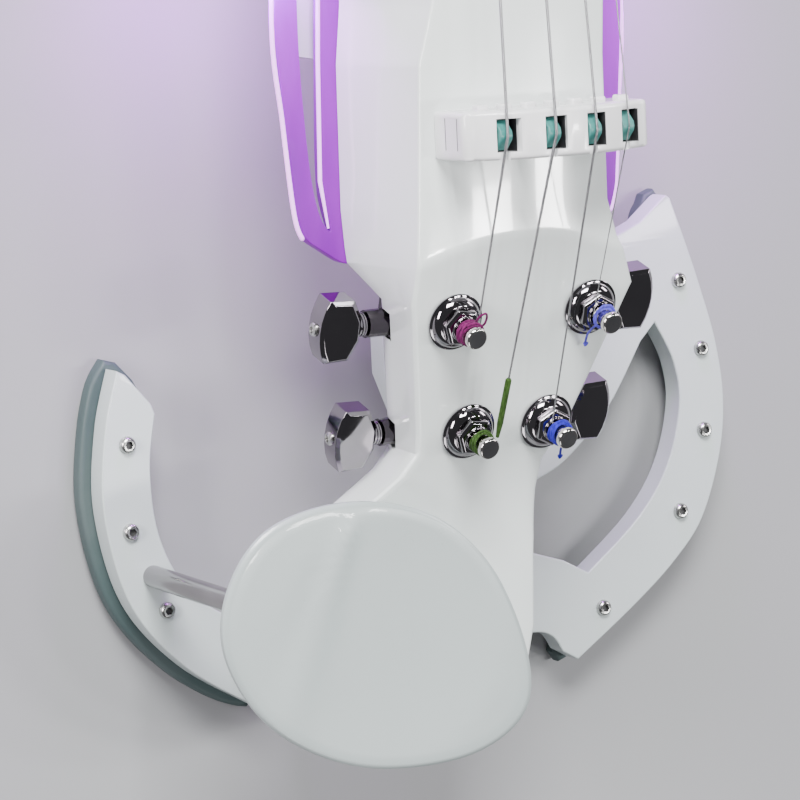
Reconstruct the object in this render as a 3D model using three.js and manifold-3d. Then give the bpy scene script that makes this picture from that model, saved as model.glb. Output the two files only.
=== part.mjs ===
// Headless electric violin, lying on its shoulder rest pads.
// Millimetres. +X treble side, +Y along the strings to the nut, +Z out of the front.
// Shapes are drawn about the bridge, with z = 0 at a level 113 mm below the strings' crest;
// the whole violin then moves so that its origin is the middle of its underside.

import * as THREE from 'three';
import { mergeVertices } from 'three/addons/utils/BufferGeometryUtils.js';
import Module from 'manifold-3d';

const wasm = await Module();
wasm.setup();

// ---------------------------------------------------------------- driving dimensions

const GAP = 0.3; // clearance between pieces that touch
const ORIGIN = { x: 7, y: 90, z: 4.4 }; // bottom centre of the whole violin, from the bridge

const SCALE_LENGTH = 328; // bridge to nut
const CREST = 113; // height of the string arch over the bridge
const STRING_FALL = 29; // the strings come down this much on their way to the nut
const ARCH_RADIUS = 42; // radius of the string arch
const BRIDGE_SPACING = 12.1; // string to string at the bridge
const NUT_SPACING = 5.5; // string to string at the nut
const HEAD_END = 346.5; // free end of the neck

const BODY_TOP = 87.5;
const BODY_BOTTOM = 48;
const WING = { bottom: 49.5, top: 53 };
const COVER = { bottom: 38, top: BODY_BOTTOM - GAP };

const DECK = { y: -48.4, z: 82.4, tilt: 0.33, thickness: 20 }; // point on the tuner deck
const POSTS = { inner: [12.05, -79], outer: [20.6, -48.4] };
const WORM = { y: -7, z: -18 }; // worm axis seen from the post's foot

const CHIN = { bottom: 66.3, rim: 72.8, top: 75 };
const PLATE = { bottom: 10, top: 17.5 };
const PAD = { bottom: ORIGIN.z, top: PLATE.bottom - GAP, overhang: 3 };
const ROD_RADIUS = 3;

const SIDES = 16; // round pieces are faceted

// ---------------------------------------------------------------- materials

function paint(color, roughness, metalness, extra = {}) {
  return new THREE.MeshStandardMaterial({ color, roughness, metalness, ...extra });
}

const finish = {
  white: paint(0xe9edeb, 0.12, 0),
  satin: paint(0xdfe6e3, 0.35, 0),
  acrylic: paint(0xb45cff, 0.4, 0, { emissive: 0x8a20e0 }),
  led: paint(0xf4ecff, 0.5, 0),
  rubber: paint(0x5c6f6b, 0.8, 0),
  steel: paint(0xb9bcc0, 0.3, 1),
  chrome: paint(0x3c3a40, 0.08, 1),
  wire: paint(0x9a9a9a, 0.3, 1),
  saddle: paint(0x4f9c95, 0.35, 0),
  ebony: paint(0x17161a, 0.4, 0),
  maple: paint(0xe9edeb, 0.15, 0),
  board: paint(0x1f5c3a, 0.6, 0),
  cell: paint(0x2a2c30, 0.5, 0.2),
  brass: paint(0xb5893c, 0.3, 1),
};
const silkColour = { g: 0x7a1060, d: 0x3f6a1e, a: 0x2c2ccc, e: 0x6a66e0 };

// ---------------------------------------------------------------- shape helpers

const violin = new THREE.Group();

function add(name, geometry, material, parent = violin) {
  const mesh = new THREE.Mesh(geometry, material);
  mesh.name = name;
  parent.add(mesh);
  return mesh;
}

function toSolid(geometry) {
  const bare = geometry.index ? geometry.toNonIndexed() : geometry.clone();
  bare.deleteAttribute('normal');
  bare.deleteAttribute('uv');
  const merged = mergeVertices(bare, 1e-4);
  const vertProperties = new Float32Array(merged.attributes.position.array);
  const triVerts = new Uint32Array(merged.index.array);
  return new wasm.Manifold(new wasm.Mesh({ numProp: 3, vertProperties, triVerts }));
}

function toGeometry(solid) {
  const mesh = solid.getMesh();
  const geometry = new THREE.BufferGeometry();
  geometry.setAttribute('position', new THREE.BufferAttribute(new Float32Array(mesh.vertProperties), 3));
  geometry.setIndex(new THREE.BufferAttribute(new Uint32Array(mesh.triVerts), 1));
  return geometry;
}

function join(...pieces) {
  return toGeometry(pieces.map(toSolid).reduce((a, b) => a.add(b)));
}

function cut(blank, ...tools) {
  return toGeometry(tools.map(toSolid).reduce((a, b) => a.subtract(b), toSolid(blank)));
}

function block(x0, x1, y0, y1, z0, z1) {
  const geometry = new THREE.BoxGeometry(x1 - x0, y1 - y0, z1 - z0);
  return geometry.translate((x0 + x1) / 2, (y0 + y1) / 2, (z0 + z1) / 2);
}

function post(x, y, radius, z0, z1, sides = SIDES) {
  const geometry = new THREE.CylinderGeometry(radius, radius, z1 - z0, sides);
  return geometry.rotateX(Math.PI / 2).translate(x, y, (z0 + z1) / 2);
}

function axle(x0, x1, y, z, radius, sides = SIDES) {
  const geometry = new THREE.CylinderGeometry(radius, radius, x1 - x0, sides);
  return geometry.rotateZ(Math.PI / 2).translate((x0 + x1) / 2, y, z);
}

// Turned piece about +Z from [radius, height] pairs; the pairs close on themselves.
function turned(profile, sides = SIDES) {
  const points = [...profile, profile[0]].map(([r, z]) => new THREE.Vector2(r, z));
  return new THREE.LatheGeometry(points, sides).rotateX(Math.PI / 2);
}

function plate(shape, z0, z1, curveSegments = 6) {
  const options = { depth: z1 - z0, bevelEnabled: false, curveSegments };
  return new THREE.ExtrudeGeometry(shape, options).translate(0, 0, z0);
}

function vectors(points) {
  return points.map(([x, y]) => new THREE.Vector2(x, y));
}

// Closed smooth outline through a few points.
function roundOutline(points, divisions) {
  const ring = points.map(([x, y]) => new THREE.Vector3(x, y, 0));
  const curve = new THREE.CatmullRomCurve3(ring, true, 'catmullrom', 0.5);
  return new THREE.Shape(curve.getPoints(divisions).slice(0, -1).map((p) => new THREE.Vector2(p.x, p.y)));
}

// Strip along a smooth line, from `inner` to `outer` millimetres to its left.
// `taper` gives the share of those offsets kept at each part of the way along.
function strip(points, inner, outer, divisions, taper = () => 1) {
  const curve = new THREE.SplineCurve(vectors(points));
  const edge = (offset) => curve.getPoints(divisions).map((p, i) => {
    const t = curve.getTangent(i / divisions);
    const off = offset * taper(i / divisions);
    return new THREE.Vector2(p.x - t.y * off, p.y + t.x * off);
  });
  return new THREE.Shape([...edge(inner), ...edge(outer).reverse()]);
}

// Closed skin over rings of equal size, with a flat cap on each end.
function loft(rings) {
  const n = rings[0].length;
  const at = (i, j) => i * n + (j % n);
  const index = [];
  for (let i = 0; i < rings.length - 1; i += 1) {
    for (let j = 0; j < n; j += 1) {
      index.push(at(i, j), at(i, j + 1), at(i + 1, j + 1));
      index.push(at(i, j), at(i + 1, j + 1), at(i + 1, j));
    }
  }
  const last = rings.length - 1;
  for (let j = 1; j < n - 1; j += 1) {
    index.push(at(0, 0), at(0, j + 1), at(0, j));
    index.push(at(last, 0), at(last, j), at(last, j + 1));
  }
  const geometry = new THREE.BufferGeometry();
  geometry.setAttribute('position', new THREE.Float32BufferAttribute(rings.flat(2), 3));
  geometry.setIndex(index);
  return geometry.toNonIndexed();
}

// Round wire through points, with a ball at every bend.
function wire(points, radius, sides = 6) {
  const pieces = [];
  for (let i = 0; i < points.length - 1; i += 1) {
    const a = new THREE.Vector3(...points[i]);
    const b = new THREE.Vector3(...points[i + 1]);
    const way = b.clone().sub(a);
    const piece = new THREE.CylinderGeometry(radius, radius, way.length(), sides);
    const turn = new THREE.Quaternion().setFromUnitVectors(new THREE.Vector3(0, 1, 0), way.clone().normalize());
    piece.applyQuaternion(turn).translate(...a.clone().add(b).multiplyScalar(0.5).toArray());
    pieces.push(piece);
    if (i > 0) pieces.push(new THREE.SphereGeometry(radius, sides, 4).translate(...points[i]));
  }
  return join(...pieces);
}

function deckHeight(y) {
  return DECK.z + (y - DECK.y) * Math.tan(DECK.tilt);
}

function archDrop(x) {
  return ARCH_RADIUS - Math.sqrt(ARCH_RADIUS ** 2 - x ** 2);
}

function fretboardFall(y) {
  return (STRING_FALL * y) / SCALE_LENGTH;
}

// ---------------------------------------------------------------- tuner frame

// side -1 is bass, +1 treble; `lean` is how far inward of its post the string lands.
// Each tuner stands square to the sloping deck.
const strings = [
  { id: 'g', slot: -1.5, post: POSTS.outer, side: -1, radius: 0.4, lean: 2.6 },
  { id: 'd', slot: -0.5, post: POSTS.inner, side: -1, radius: 0.4, lean: 4.2 },
  { id: 'a', slot: 0.5, post: POSTS.inner, side: 1, radius: 0.34, lean: 2.9 },
  { id: 'e', slot: 1.5, post: POSTS.outer, side: 1, radius: 0.16, lean: 4.1 },
];

function tunerGroup({ post: [x, y], side }) {
  const group = new THREE.Group();
  group.position.set(side * x, y, deckHeight(y));
  group.rotation.x = DECK.tilt;
  group.updateMatrix();
  return group;
}

function onDeck(string, geometry) {
  return geometry.applyMatrix4(tunerGroup(string).matrix);
}

// ---------------------------------------------------------------- body

// Section across the body: L and R are the top edges, `flare` widens the bottom.
function bodySection([y, left, right, top, bottom, flare]) {
  const c = 2;
  return [
    [left + c, y, top], [left, y, top - c],
    [left - flare, y, bottom + c], [left - flare + c, y, bottom],
    [right + flare - c, y, bottom], [right + flare, y, bottom + c],
    [right, y, top - c], [right - c, y, top],
  ];
}

function bodyBlank() {
  const slab = (y) => [deckHeight(y), deckHeight(y) - DECK.thickness / Math.cos(DECK.tilt)];
  const stations = [
    [152, -17.5, 17.5, 83.5, BODY_BOTTOM + 2, 2],
    [118, -20, 20, 87, BODY_BOTTOM, 7],
    [60, -22.5, 22.5, BODY_TOP, BODY_BOTTOM, 11],
    [33, -26, 25.8, BODY_TOP, BODY_BOTTOM, 9],
    [18, -30.5, 25, BODY_TOP, BODY_BOTTOM, 6],
    [-20, -32.5, 24.8, BODY_TOP, BODY_BOTTOM, 4.5],
    [-30, -33.2, 27, BODY_TOP, BODY_BOTTOM, 3],
    [-34, -33.4, 28.8, BODY_TOP, 51.5, 2],
    [-43, -33.5, 33.6, ...slab(-43), -1.5],
    [-79, -27, 20, ...slab(-79), -2],
    [-84, -26.5, 16.5, ...slab(-84), -2.5],
    [-90, -31.5, 13.2, ...slab(-90), -2.5],
    [-98, -42, 12.6, 64, 45, -2],
    [-112, -60, 13, 62.5, 42, -1],
    [-136, -60, 12, 62.5, 42, -1],
    [-152, -50, 8, 62.5, 43, -1],
    [-161, -38, 0, 61, 46, -1],
  ];
  return loft(stations.map(bodySection));
}

function bodyShell() {
  const cavity = block(-21, 15, -26, 112, BODY_BOTTOM - 1, 79);
  const wings = [-1, 1].map((side) => plate(wingOutline(side, GAP), BODY_BOTTOM - 1, WING.top + GAP));
  const leds = [-1, 1].map((side) => block(...ledSpan(side, GAP)));
  const tuners = strings.flatMap((string) => [
    onDeck(string, post(0, 0, 4.2 + GAP, -16, 4)),
    onDeck(string, block(-9 - GAP, 9 + GAP, -11 - GAP, 6.5 + GAP, -30, -12)),
    onDeck(string, keyChannel(string.side)),
  ]);
  const sockets = [
    post(...RODS.left_inner.at, ROD_RADIUS + GAP, 30, RODS.left_inner.top + GAP),
    post(...RODS.right_upper.at, ROD_RADIUS + GAP, 30, RODS.right_upper.top + GAP),
    post(...RODS.right_lower.at, ROD_RADIUS + GAP, 30, RODS.right_lower.top + GAP),
  ];
  const controls = [
    axle(15, 50, JACK.y, JACK.z, JACK.radius + GAP),
    axle(15, 50, VOLUME.y, VOLUME.z, 3.2 + GAP),
  ];
  return cut(bodyBlank(), cavity, ...wings, ...leds, ...tuners, ...sockets, ...controls);
}

// Way out of the deck's edge for a tuner's shaft.
function keyChannel(side) {
  const [near, far] = side > 0 ? [8, 45] : [-45, -8];
  return block(near, far, WORM.y - 4, WORM.y + 4, -40, WORM.z + 4);
}

// ---------------------------------------------------------------- wings and back

function mirrored(points, side) {
  return points.map(([x, y]) => [side * x, y]);
}

// Acrylic wing; its inner edge runs under the body's wall. `grow` widens it for a cut.
function wingOutline(side, grow = 0) {
  const shape = new THREE.Shape();
  const outer = [
    [25.5, -34], [36, -34.5], [47.2, -27], [49.4, -20], [53.4, 30], [49, 74], [37, 108], [25.5, 116],
  ];
  const grown = outer.map(([x, y], i) => {
    const end = i < 2 ? -grow : 0;
    const far = i > 5 ? grow : 0;
    return [x < 26 ? x - grow : x + 3 * grow, y + end + far];
  });
  const path = mirrored(grow > 0 ? grown : outer, side);
  shape.setFromPoints(vectors(side > 0 ? path : path.reverse()));
  return shape;
}

function wingSlot(side) {
  const ring = [
    [39.6, -25], [43, -19.5], [45.2, -4], [46.4, 26], [45, 56], [40.4, 88],
    [38, 84], [38.6, 56], [40.6, 20], [41.8, -12],
  ];
  return roundOutline(mirrored(ring, side), 26);
}

function wing(side) {
  return cut(plate(wingOutline(side), WING.bottom, WING.top), plate(wingSlot(side), WING.bottom - 1, WING.top + 1));
}

// Light strip along the inner edge of a wing: x0, x1, y0, y1, z0, z1.
function ledSpan(side, grow = 0) {
  const [near, far] = [23 - grow, 25.2 + grow];
  const across = side > 0 ? [near, far] : [-far, -near];
  return [...across, -24 - grow, 110 + grow, WING.bottom - 5 * grow, WING.top + grow];
}

// The cover's shelves reach out under the wings and show through their slots.
function coverOutline() {
  const half = [[30, -29], [30.5, 18], [46, 21], [47.5, 30], [46, 60], [38, 96], [18, 150]];
  const shape = new THREE.Shape();
  shape.setFromPoints(vectors([...half, ...mirrored(half, -1).reverse()]));
  return shape;
}

const COVER_SCREWS = [[0, -22], [0, 132]];

function backCover() {
  const shelf = COVER.top - 3.5;
  const blank = plate(coverOutline(), shelf, COVER.top);
  const tub = loft([
    [[-28, -27, shelf + 1], [28, -27, shelf + 1], [26, 128, shelf + 1], [-26, 128, shelf + 1]],
    [[-23, -22, COVER.bottom], [23, -22, COVER.bottom], [20, 118, COVER.bottom], [-20, 118, COVER.bottom]],
  ].map((ring) => ring.reverse()));
  const hollow = block(-19, 19, -16, 108, COVER.bottom + 2.5, COVER.top + 1);
  const holes = COVER_SCREWS.map(([x, y]) => post(x, y, 1.5 + GAP, 30, 60));
  const dimples = COVER_SCREWS.map(([x, y]) => post(x, y, 3 + GAP, 30, COVER.top - 3));
  const window = block(-12 - GAP, -4 + GAP, SWITCH.y - 6 - GAP, SWITCH.y + 6 + GAP, 30, 60);
  return cut(join(blank, tub), hollow, ...holes, ...dimples, window);
}

function coverScrew([x, y]) {
  const head = post(x, y, 3, COVER.top - 5, COVER.top - 3 - GAP, 16);
  return join(head, post(x, y, 1.5, COVER.top - 4, COVER.top - GAP / 2, 12));
}

// ---------------------------------------------------------------- neck and strings

function fingerboardSection(y, half, depth) {
  const top = CREST - fretboardFall(y) - depth;
  const ring = [];
  for (let i = 0; i <= 8; i += 1) {
    const x = half * (1 - i / 4);
    ring.push([x, y, top - archDrop(x)]);
  }
  ring.push([-half, y, fingerboardFloor(y)], [half, y, fingerboardFloor(y)]);
  return ring;
}

function fingerboardFloor(y) {
  return 96.5 - (y - 58) * 0.077;
}

function fingerboard() {
  return loft([fingerboardSection(SCALE_LENGTH, 12, 1.4), fingerboardSection(58, 21, 4)]);
}

// Half round section of the neck under the fingerboard.
function neckSection([y, half, depth, top]) {
  const ring = [];
  for (let i = 0; i <= 10; i += 1) {
    const a = (Math.PI * i) / 10;
    ring.push([half * Math.cos(a), y, top - 3 - (depth - 3) * Math.sin(a) ** 0.8]);
  }
  return [[half, y, top], ...ring, [-half, y, top]];
}

function neck() {
  const under = (y) => fingerboardFloor(y) - GAP;
  const stations = [
    [HEAD_END, 10.5, 12, under(SCALE_LENGTH)],
    [SCALE_LENGTH, 12, 14.5, under(SCALE_LENGTH)],
    [250, 14, 15.5, under(250)],
    [180, 16, 18, under(180)],
    [165, 16.8, 24, under(165)],
    [152.4, 17.4, 36, under(152.4)],
  ].map(neckSection);
  const shank = loft(stations.map((ring) => ring.reverse()));
  const tongue = loft([[100, 87.8], [118, 87.4], [152.3, 83.9], [156, 83.9]].map(([y, floor]) => [
    [-14, y, under(y)], [14, y, under(y)], [14, y, floor], [-14, y, floor],
  ]));
  return join(shank, tongue);
}

function nutHeight(x) {
  return CREST - STRING_FALL - archDrop(x);
}

function nut() {
  const floor = fingerboardFloor(SCALE_LENGTH);
  const y0 = SCALE_LENGTH + GAP;
  const top = [-1.5, -0.5, 0.5, 1.5].map((slot) => [slot * NUT_SPACING, nutHeight(slot * NUT_SPACING)]);
  const ring = (y, drop) => [
    [-11.5, y, floor], [11.5, y, floor], [11.5, y, top[3][1] - drop - 0.1],
    ...top.toReversed().map(([x, z]) => [x, y, z - drop]), [-11.5, y, top[0][1] - drop - 0.1],
  ];
  return loft([ring(y0 + 4, 1.8), ring(y0 + 1.5, 0.8), ring(y0, 0.8)]);
}

const ANCHOR = { y0: 336, y1: 343, height: 5.6 };

function stringAnchor() {
  const floor = fingerboardFloor(SCALE_LENGTH);
  const blank = block(-11, 11, ANCHOR.y0, ANCHOR.y1, floor, floor + ANCHOR.height);
  const grooves = strings.map(({ slot }) => {
    const x = slot * NUT_SPACING;
    return block(x - 0.8, x + 0.8, ANCHOR.y0 - 1, ANCHOR.y1 + 1, floor + 2.6, floor + 9);
  });
  const pockets = strings.map(({ slot }) => {
    const x = slot * NUT_SPACING;
    return block(x - 1.9, x + 1.9, ANCHOR.y1 - 3.6, ANCHOR.y1 + 1, floor + 1.2, floor + 9);
  });
  return cut(blank, ...grooves, ...pockets);
}

const WINDING = { low: 6.9, high: 9.8, inner: 2.4, outer: 3.7 };

// Where a string lands on the inner side of its own winding.
function stringEnd({ radius, post: [px, py], side, lean }) {
  const rise = (WINDING.low + WINDING.high) / 2;
  const reach = WINDING.outer + GAP + radius;
  return [
    side * (px - lean),
    py + Math.sqrt(reach ** 2 - lean ** 2) - rise * Math.sin(DECK.tilt),
    deckHeight(py) + rise * Math.cos(DECK.tilt) + 0.4,
  ];
}

// Height of a string at y behind the bridge.
function tailHeight(string, y) {
  const crest = CREST - archDrop(string.slot * BRIDGE_SPACING);
  const [, endY, endZ] = stringEnd(string);
  return crest + ((endZ - crest) * y) / endY;
}

// Speaking length from the ball end over the nut and bridge, then down to the winding.
function stringWire(string) {
  const { slot, radius } = string;
  const anchor = [slot * NUT_SPACING, ANCHOR.y1 - 1.8, fingerboardFloor(SCALE_LENGTH) + 4];
  const run = wire([
    anchor,
    [anchor[0], SCALE_LENGTH + 2, nutHeight(anchor[0])],
    [slot * BRIDGE_SPACING, 0, CREST - archDrop(slot * BRIDGE_SPACING)],
    stringEnd(string),
  ], radius);
  return join(run, new THREE.SphereGeometry(1.5, 8, 6).translate(...anchor));
}

// ---------------------------------------------------------------- bridge

const BRIDGE = { half: 27.5, thick: 6.2, shoulder: 102, crown: 111.3, pocket: 97.5 };
const POCKET = { near: -1.9, far: 4.1, deep: 4.2 }; // each pocket reaches further to the treble side

// White block with a pocket for each saddle, notches behind them and lugs in front.
function bridge() {
  const shape = new THREE.Shape();
  const { half, thick, shoulder, crown, pocket } = BRIDGE;
  const floor = BODY_TOP + GAP;
  shape.moveTo(-half, floor);
  shape.lineTo(half, floor);
  shape.lineTo(half, shoulder);
  shape.quadraticCurveTo(half, shoulder + 1.8, half - 2.4, shoulder + 2.2);
  shape.quadraticCurveTo(0, 2 * crown - shoulder - 2.2, -half + 2.4, shoulder + 2.2);
  shape.quadraticCurveTo(-half, shoulder + 1.8, -half, shoulder);
  const blank = plate(shape, -thick, thick, 8).rotateX(Math.PI / 2);
  const pockets = strings.map(({ slot }) => {
    const x = slot * BRIDGE_SPACING;
    return block(x + POCKET.near, x + POCKET.far, -POCKET.deep, POCKET.deep, pocket, CREST + 5);
  });
  const notches = strings.map((string) => {
    const x = string.slot * BRIDGE_SPACING;
    return block(x - 1.2, x + 1.2, -thick - 2, -3, tailHeight(string, -thick) - string.radius - GAP, CREST + 5);
  });
  const lugs = [-3, -2, -1, 0, 1, 2, 3].map((i) => {
    return block(i * 7 - 1.6, i * 7 + 1.6, thick - 1, thick + 1.6, 99, 102.5);
  });
  return join(cut(blank, ...pockets, ...notches), ...lugs);
}

function saddle({ slot, radius }) {
  const x = slot * BRIDGE_SPACING;
  const top = CREST - archDrop(x) - radius - GAP;
  const shape = new THREE.Shape(vectors([
    [-3.8, BRIDGE.pocket + GAP], [3.8, BRIDGE.pocket + GAP], [3.8, top - 3], [0.8, top], [-0.8, top], [-3.8, top - 3],
  ]));
  return plate(shape, POCKET.near + GAP, 2).rotateX(Math.PI / 2).rotateZ(Math.PI / 2).translate(x, 0, 0);
}

// ---------------------------------------------------------------- tuners

function bushing() {
  const skirt = turned([
    [2.9, -11.7], [4.2, -11.7], [4.2, GAP], [7.8, GAP], [7.8, 1], [7, 1.7], [6.1, 3], [2.9, 3],
  ]);
  const nutRing = turned([[2.9, 2.8], [5.4, 2.8], [5.4, 5], [4.9, 5.6], [2.9, 5.6]], 6);
  const collar = turned([[2.9, 5.4], [3.7, 5.4], [3.7, 6.2], [2.9, 6.2]]);
  return cut(join(skirt, nutRing, collar), post(0, 0, 2.88, -20, 20));
}

function tunerPost() {
  return turned([
    [0, -21], [4.4, -21], [4.4, -15], [2.5, -15], [2.5, 6.3], [2.1, 6.7],
    [2.1, 9.9], [2.5, 10.2], [2.95, 10.8], [2.95, 11.8], [2.6, 12.2], [0, 12.2],
  ], 14);
}

// Housing with an arm round the shaft, on the side that the shaft leaves by.
function gearBox(side) {
  const blank = block(-9, 9, -11, 6.5, -23.5, -12);
  const arm = side > 0 ? axle(8, 16, WORM.y, WORM.z, 3.7) : axle(-16, -8, WORM.y, WORM.z, 3.7);
  const well = post(0, 0, 4.4 + GAP, -21.4, -14.6);
  const bore = post(0, 0, 2.5 + GAP, -16, -5);
  const drain = post(0, 0, 1.6, -30, -20, 8);
  const tunnel = axle(-20, 20, WORM.y, WORM.z, 2.2 + GAP, 12);
  return cut(join(blank, arm), well, bore, drain, tunnel);
}

// Worm shaft with its collar, button and the button's screw.
function tunerKey(side) {
  const shaft = axle(-8.6, 21, WORM.y, WORM.z, 2.2, 12);
  const collar = axle(16.6, 18.6, WORM.y, WORM.z, 3.2, 12);
  const screw = axle(29, 31.6, WORM.y, WORM.z, 1.9, 12);
  const outline = new THREE.Shape(vectors([
    [18.8, -3.4], [21.4, -8.4], [26.4, -8.9], [30.2, -5.2], [30.2, 5.2], [26.4, 8.9], [21.4, 8.4], [18.8, 3.4],
  ]));
  const bevel = { depth: 4.6, bevelEnabled: true, bevelThickness: 1.7, bevelSize: 1.7, bevelOffset: -1.7, bevelSegments: 1 };
  const button = new THREE.ExtrudeGeometry(outline, bevel).translate(0, WORM.y, WORM.z - 2.3);
  const key = join(shaft, collar, screw, button);
  return side > 0 ? key : key.rotateZ(Math.PI).translate(0, 2 * WORM.y, 0);
}

function winding() {
  const { low, high, inner, outer } = WINDING;
  const profile = [
    [inner, low], [outer - 0.5, low], [outer, low + 0.7],
    [outer, high - 0.7], [outer - 0.5, high], [inner, high],
  ];
  return turned(profile, 14);
}

// ---------------------------------------------------------------- chin rest and shoulder arcs

const RODS = {
  left_outer: { at: [-79.8, -116.8], top: 72.2 },
  left_inner: { at: [-47, -142], top: 58 },
  right_upper: { at: [3, -58], top: 69 },
  right_lower: { at: [3, -134], top: 58 },
};

function chinRing(z, scale = 1) {
  const [cx, cy] = [-42, -130];
  const ring = [
    [-50, -93.4], [-73, -98], [-85.4, -113], [-86.2, -131], [-73, -151], [-48, -164],
    [-18, -166], [0.6, -157.5], [3, -141], [-7, -116], [-25, -99.5],
  ];
  const curve = new THREE.CatmullRomCurve3(ring.map(([x, y]) => new THREE.Vector3(x, y, z)), true, 'catmullrom', 0.5);
  return curve.getPoints(44).slice(0, -1).map((p) => [cx + (p.x - cx) * scale, cy + (p.y - cy) * scale, z]);
}

// Thin rim over a smaller foot, with a boss round the outer rod.
function chinRest() {
  const blank = loft([chinRing(CHIN.top), chinRing(CHIN.rim), chinRing(CHIN.bottom, 0.82)].map((ring) => ring.reverse()));
  const [x, y] = RODS.left_outer.at;
  const boss = post(x + 1, y, 5, CHIN.bottom, CHIN.rim + 1);
  return cut(join(blank, boss), post(x, y, ROD_RADIUS + GAP, 60, RODS.left_outer.top + GAP));
}

const LEFT_SCREWS = [[-85.3, -80.5], [-85.7, -104], [-76.3, -126.6], [-56, -145]];
const RIGHT_SCREWS = [[92.6, -52.4], [99.6, -73], [99.7, -97], [90.5, -120], [62.6, -145]];
const LEFT_EDGE = [[-87, -60.5], [-91.5, -77], [-93, -99], [-86.5, -124.5], [-71, -143.5], [-51, -157]];
const RIGHT_EDGE = [
  [53.5, -159], [73.5, -145.8], [88, -134.6], [98.4, -122.8], [105.3, -104.5],
  [107.2, -88], [105, -71], [100, -54], [95, -39.5], [90.8, -28.4],
];

function leftPlate() {
  const shape = new THREE.Shape();
  shape.moveTo(-51, -157);
  shape.splineThru(vectors(LEFT_EDGE.slice(0, -1).reverse()));
  shape.lineTo(-84, -62.5);
  shape.lineTo(-77.5, -70.5);
  shape.splineThru(vectors([[-76.5, -73], [-78.8, -88], [-77.2, -106], [-70, -121], [-57, -131], [-40, -134]]));
  shape.lineTo(-34, -140);
  shape.lineTo(-36, -154);
  const holes = LEFT_SCREWS.map(([x, y]) => post(x, y, 1.25 + GAP, 0, 30, 8));
  const seats = [RODS.left_outer, RODS.left_inner].map(({ at }) => post(...at, ROD_RADIUS + GAP, 0, 30));
  return cut(plate(shape, PLATE.bottom, PLATE.top, 5), ...holes, ...seats);
}

function rightPlate() {
  const shape = new THREE.Shape();
  shape.moveTo(53.5, -159);
  shape.splineThru(vectors(RIGHT_EDGE.slice(1)));
  shape.lineTo(88.4, -27.8);
  shape.splineThru(vectors([[80.2, -34.5], [71.6, -37.7], [55, -42], [30, -46], [8, -50]]));
  shape.lineTo(-6, -54);
  shape.lineTo(-6, -70);
  shape.lineTo(4, -96);
  shape.lineTo(-8, -122);
  shape.lineTo(-8, -146);
  shape.splineThru(vectors([[18, -149], [38, -149], [45, -151], [48.5, -156]]));
  const window = new THREE.Shape();
  window.moveTo(84, -64);
  window.splineThru(vectors([[90, -76], [91.5, -89], [86.5, -106], [76, -120], [58, -134]]));
  window.splineThru(vectors([[50, -129.5], [40, -126], [27, -121]]));
  window.splineThru(vectors([[28, -112], [40, -106], [52, -100.5], [67, -87], [79, -69], [84, -64]]));
  const holes = RIGHT_SCREWS.map(([x, y]) => post(x, y, 1.25 + GAP, 0, 30, 8));
  const seats = [RODS.right_upper, RODS.right_lower].map(({ at }) => post(...at, ROD_RADIUS + GAP, 0, 30));
  return cut(plate(shape, PLATE.bottom, PLATE.top, 4), plate(window, 0, 30, 4), ...holes, ...seats);
}

const STRIP = { low: 7.8, high: 9.4, half: 3, over: 4 };

// Strip through the screws that runs on past the first and last of them.
function screwLine(screws, half, over) {
  const beyond = ([ax, ay], [bx, by]) => {
    const k = over / Math.hypot(ax - bx, ay - by);
    return [ax + (ax - bx) * k, ay + (ay - by) * k];
  };
  const inside = screws.slice(1, -1);
  const line = [beyond(screws[0], screws[1]), ...inside, beyond(screws.at(-1), screws.at(-2))];
  return strip(line, half, -half, 9);
}

// Rubber pad under the plate's outer edge, narrower at its ends, grooved for the threaded strip.
function pad(edge, screws, width) {
  const groove = plate(screwLine(screws, STRIP.half + GAP, STRIP.over + GAP), STRIP.low - GAP, PLATE.bottom);
  const taper = (u) => Math.min(1, 0.3 + 6 * u, 0.3 + 6 * (1 - u));
  return cut(plate(strip(edge, width, -PAD.overhang, 16, taper), PAD.bottom, PAD.top), groove);
}

// Threaded strip with its button head screws.
function screwStrip(screws) {
  const bar = plate(screwLine(screws, STRIP.half, STRIP.over), STRIP.low, STRIP.high);
  const bolts = screws.flatMap(([x, y]) => [
    post(x, y, 1.25, STRIP.high - 1, PLATE.top + 1, 8),
    turned([[0, 0], [2.35, 0], [2.35, 0.5], [1.7, 1.3], [0, 1.4]], 12).translate(x, y, PLATE.top + GAP),
  ]);
  return join(bar, ...bolts);
}

function rod({ at, top }) {
  return post(...at, ROD_RADIUS, PLATE.bottom + GAP / 2, top);
}

// ---------------------------------------------------------------- electrics

const JACK = { y: 58, z: 70, radius: 5.5 };
const VOLUME = { y: 90, z: 70 };
const SWITCH = { y: 60 };

function outputJack() {
  const barrel = axle(16, 33, JACK.y, JACK.z, JACK.radius);
  const flange = axle(31.5, 33, JACK.y, JACK.z, 7.5);
  return cut(join(barrel, flange), axle(18, 40, JACK.y, JACK.z, 3.2));
}

function volumeKnob() {
  const spindle = axle(16, 34, VOLUME.y, VOLUME.z, 3, 16);
  const cap = axle(31.6, 41, VOLUME.y, VOLUME.z, 8, 20);
  return join(spindle, cap);
}

function powerSwitch() {
  return join(
    block(-12, -4, SWITCH.y - 4, SWITCH.y + 2, COVER.bottom - 1.4, COVER.top - 1),
    block(-15, -1, SWITCH.y - 8.5, SWITCH.y + 6.5, COVER.bottom + 3, COVER.top - 1),
  );
}

// ---------------------------------------------------------------- assembly

add('body_shell', bodyShell(), finish.white);
add('back_cover', backCover(), finish.white);
COVER_SCREWS.forEach((at, i) => add(['cover_screw_tail', 'cover_screw_neck'][i], coverScrew(at), finish.steel));
add('neck', neck(), finish.maple);
add('fingerboard', fingerboard(), finish.ebony);
add('nut', nut(), finish.ebony);
add('string_anchor', stringAnchor(), finish.steel);
add('bridge', bridge(), finish.white);

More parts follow.
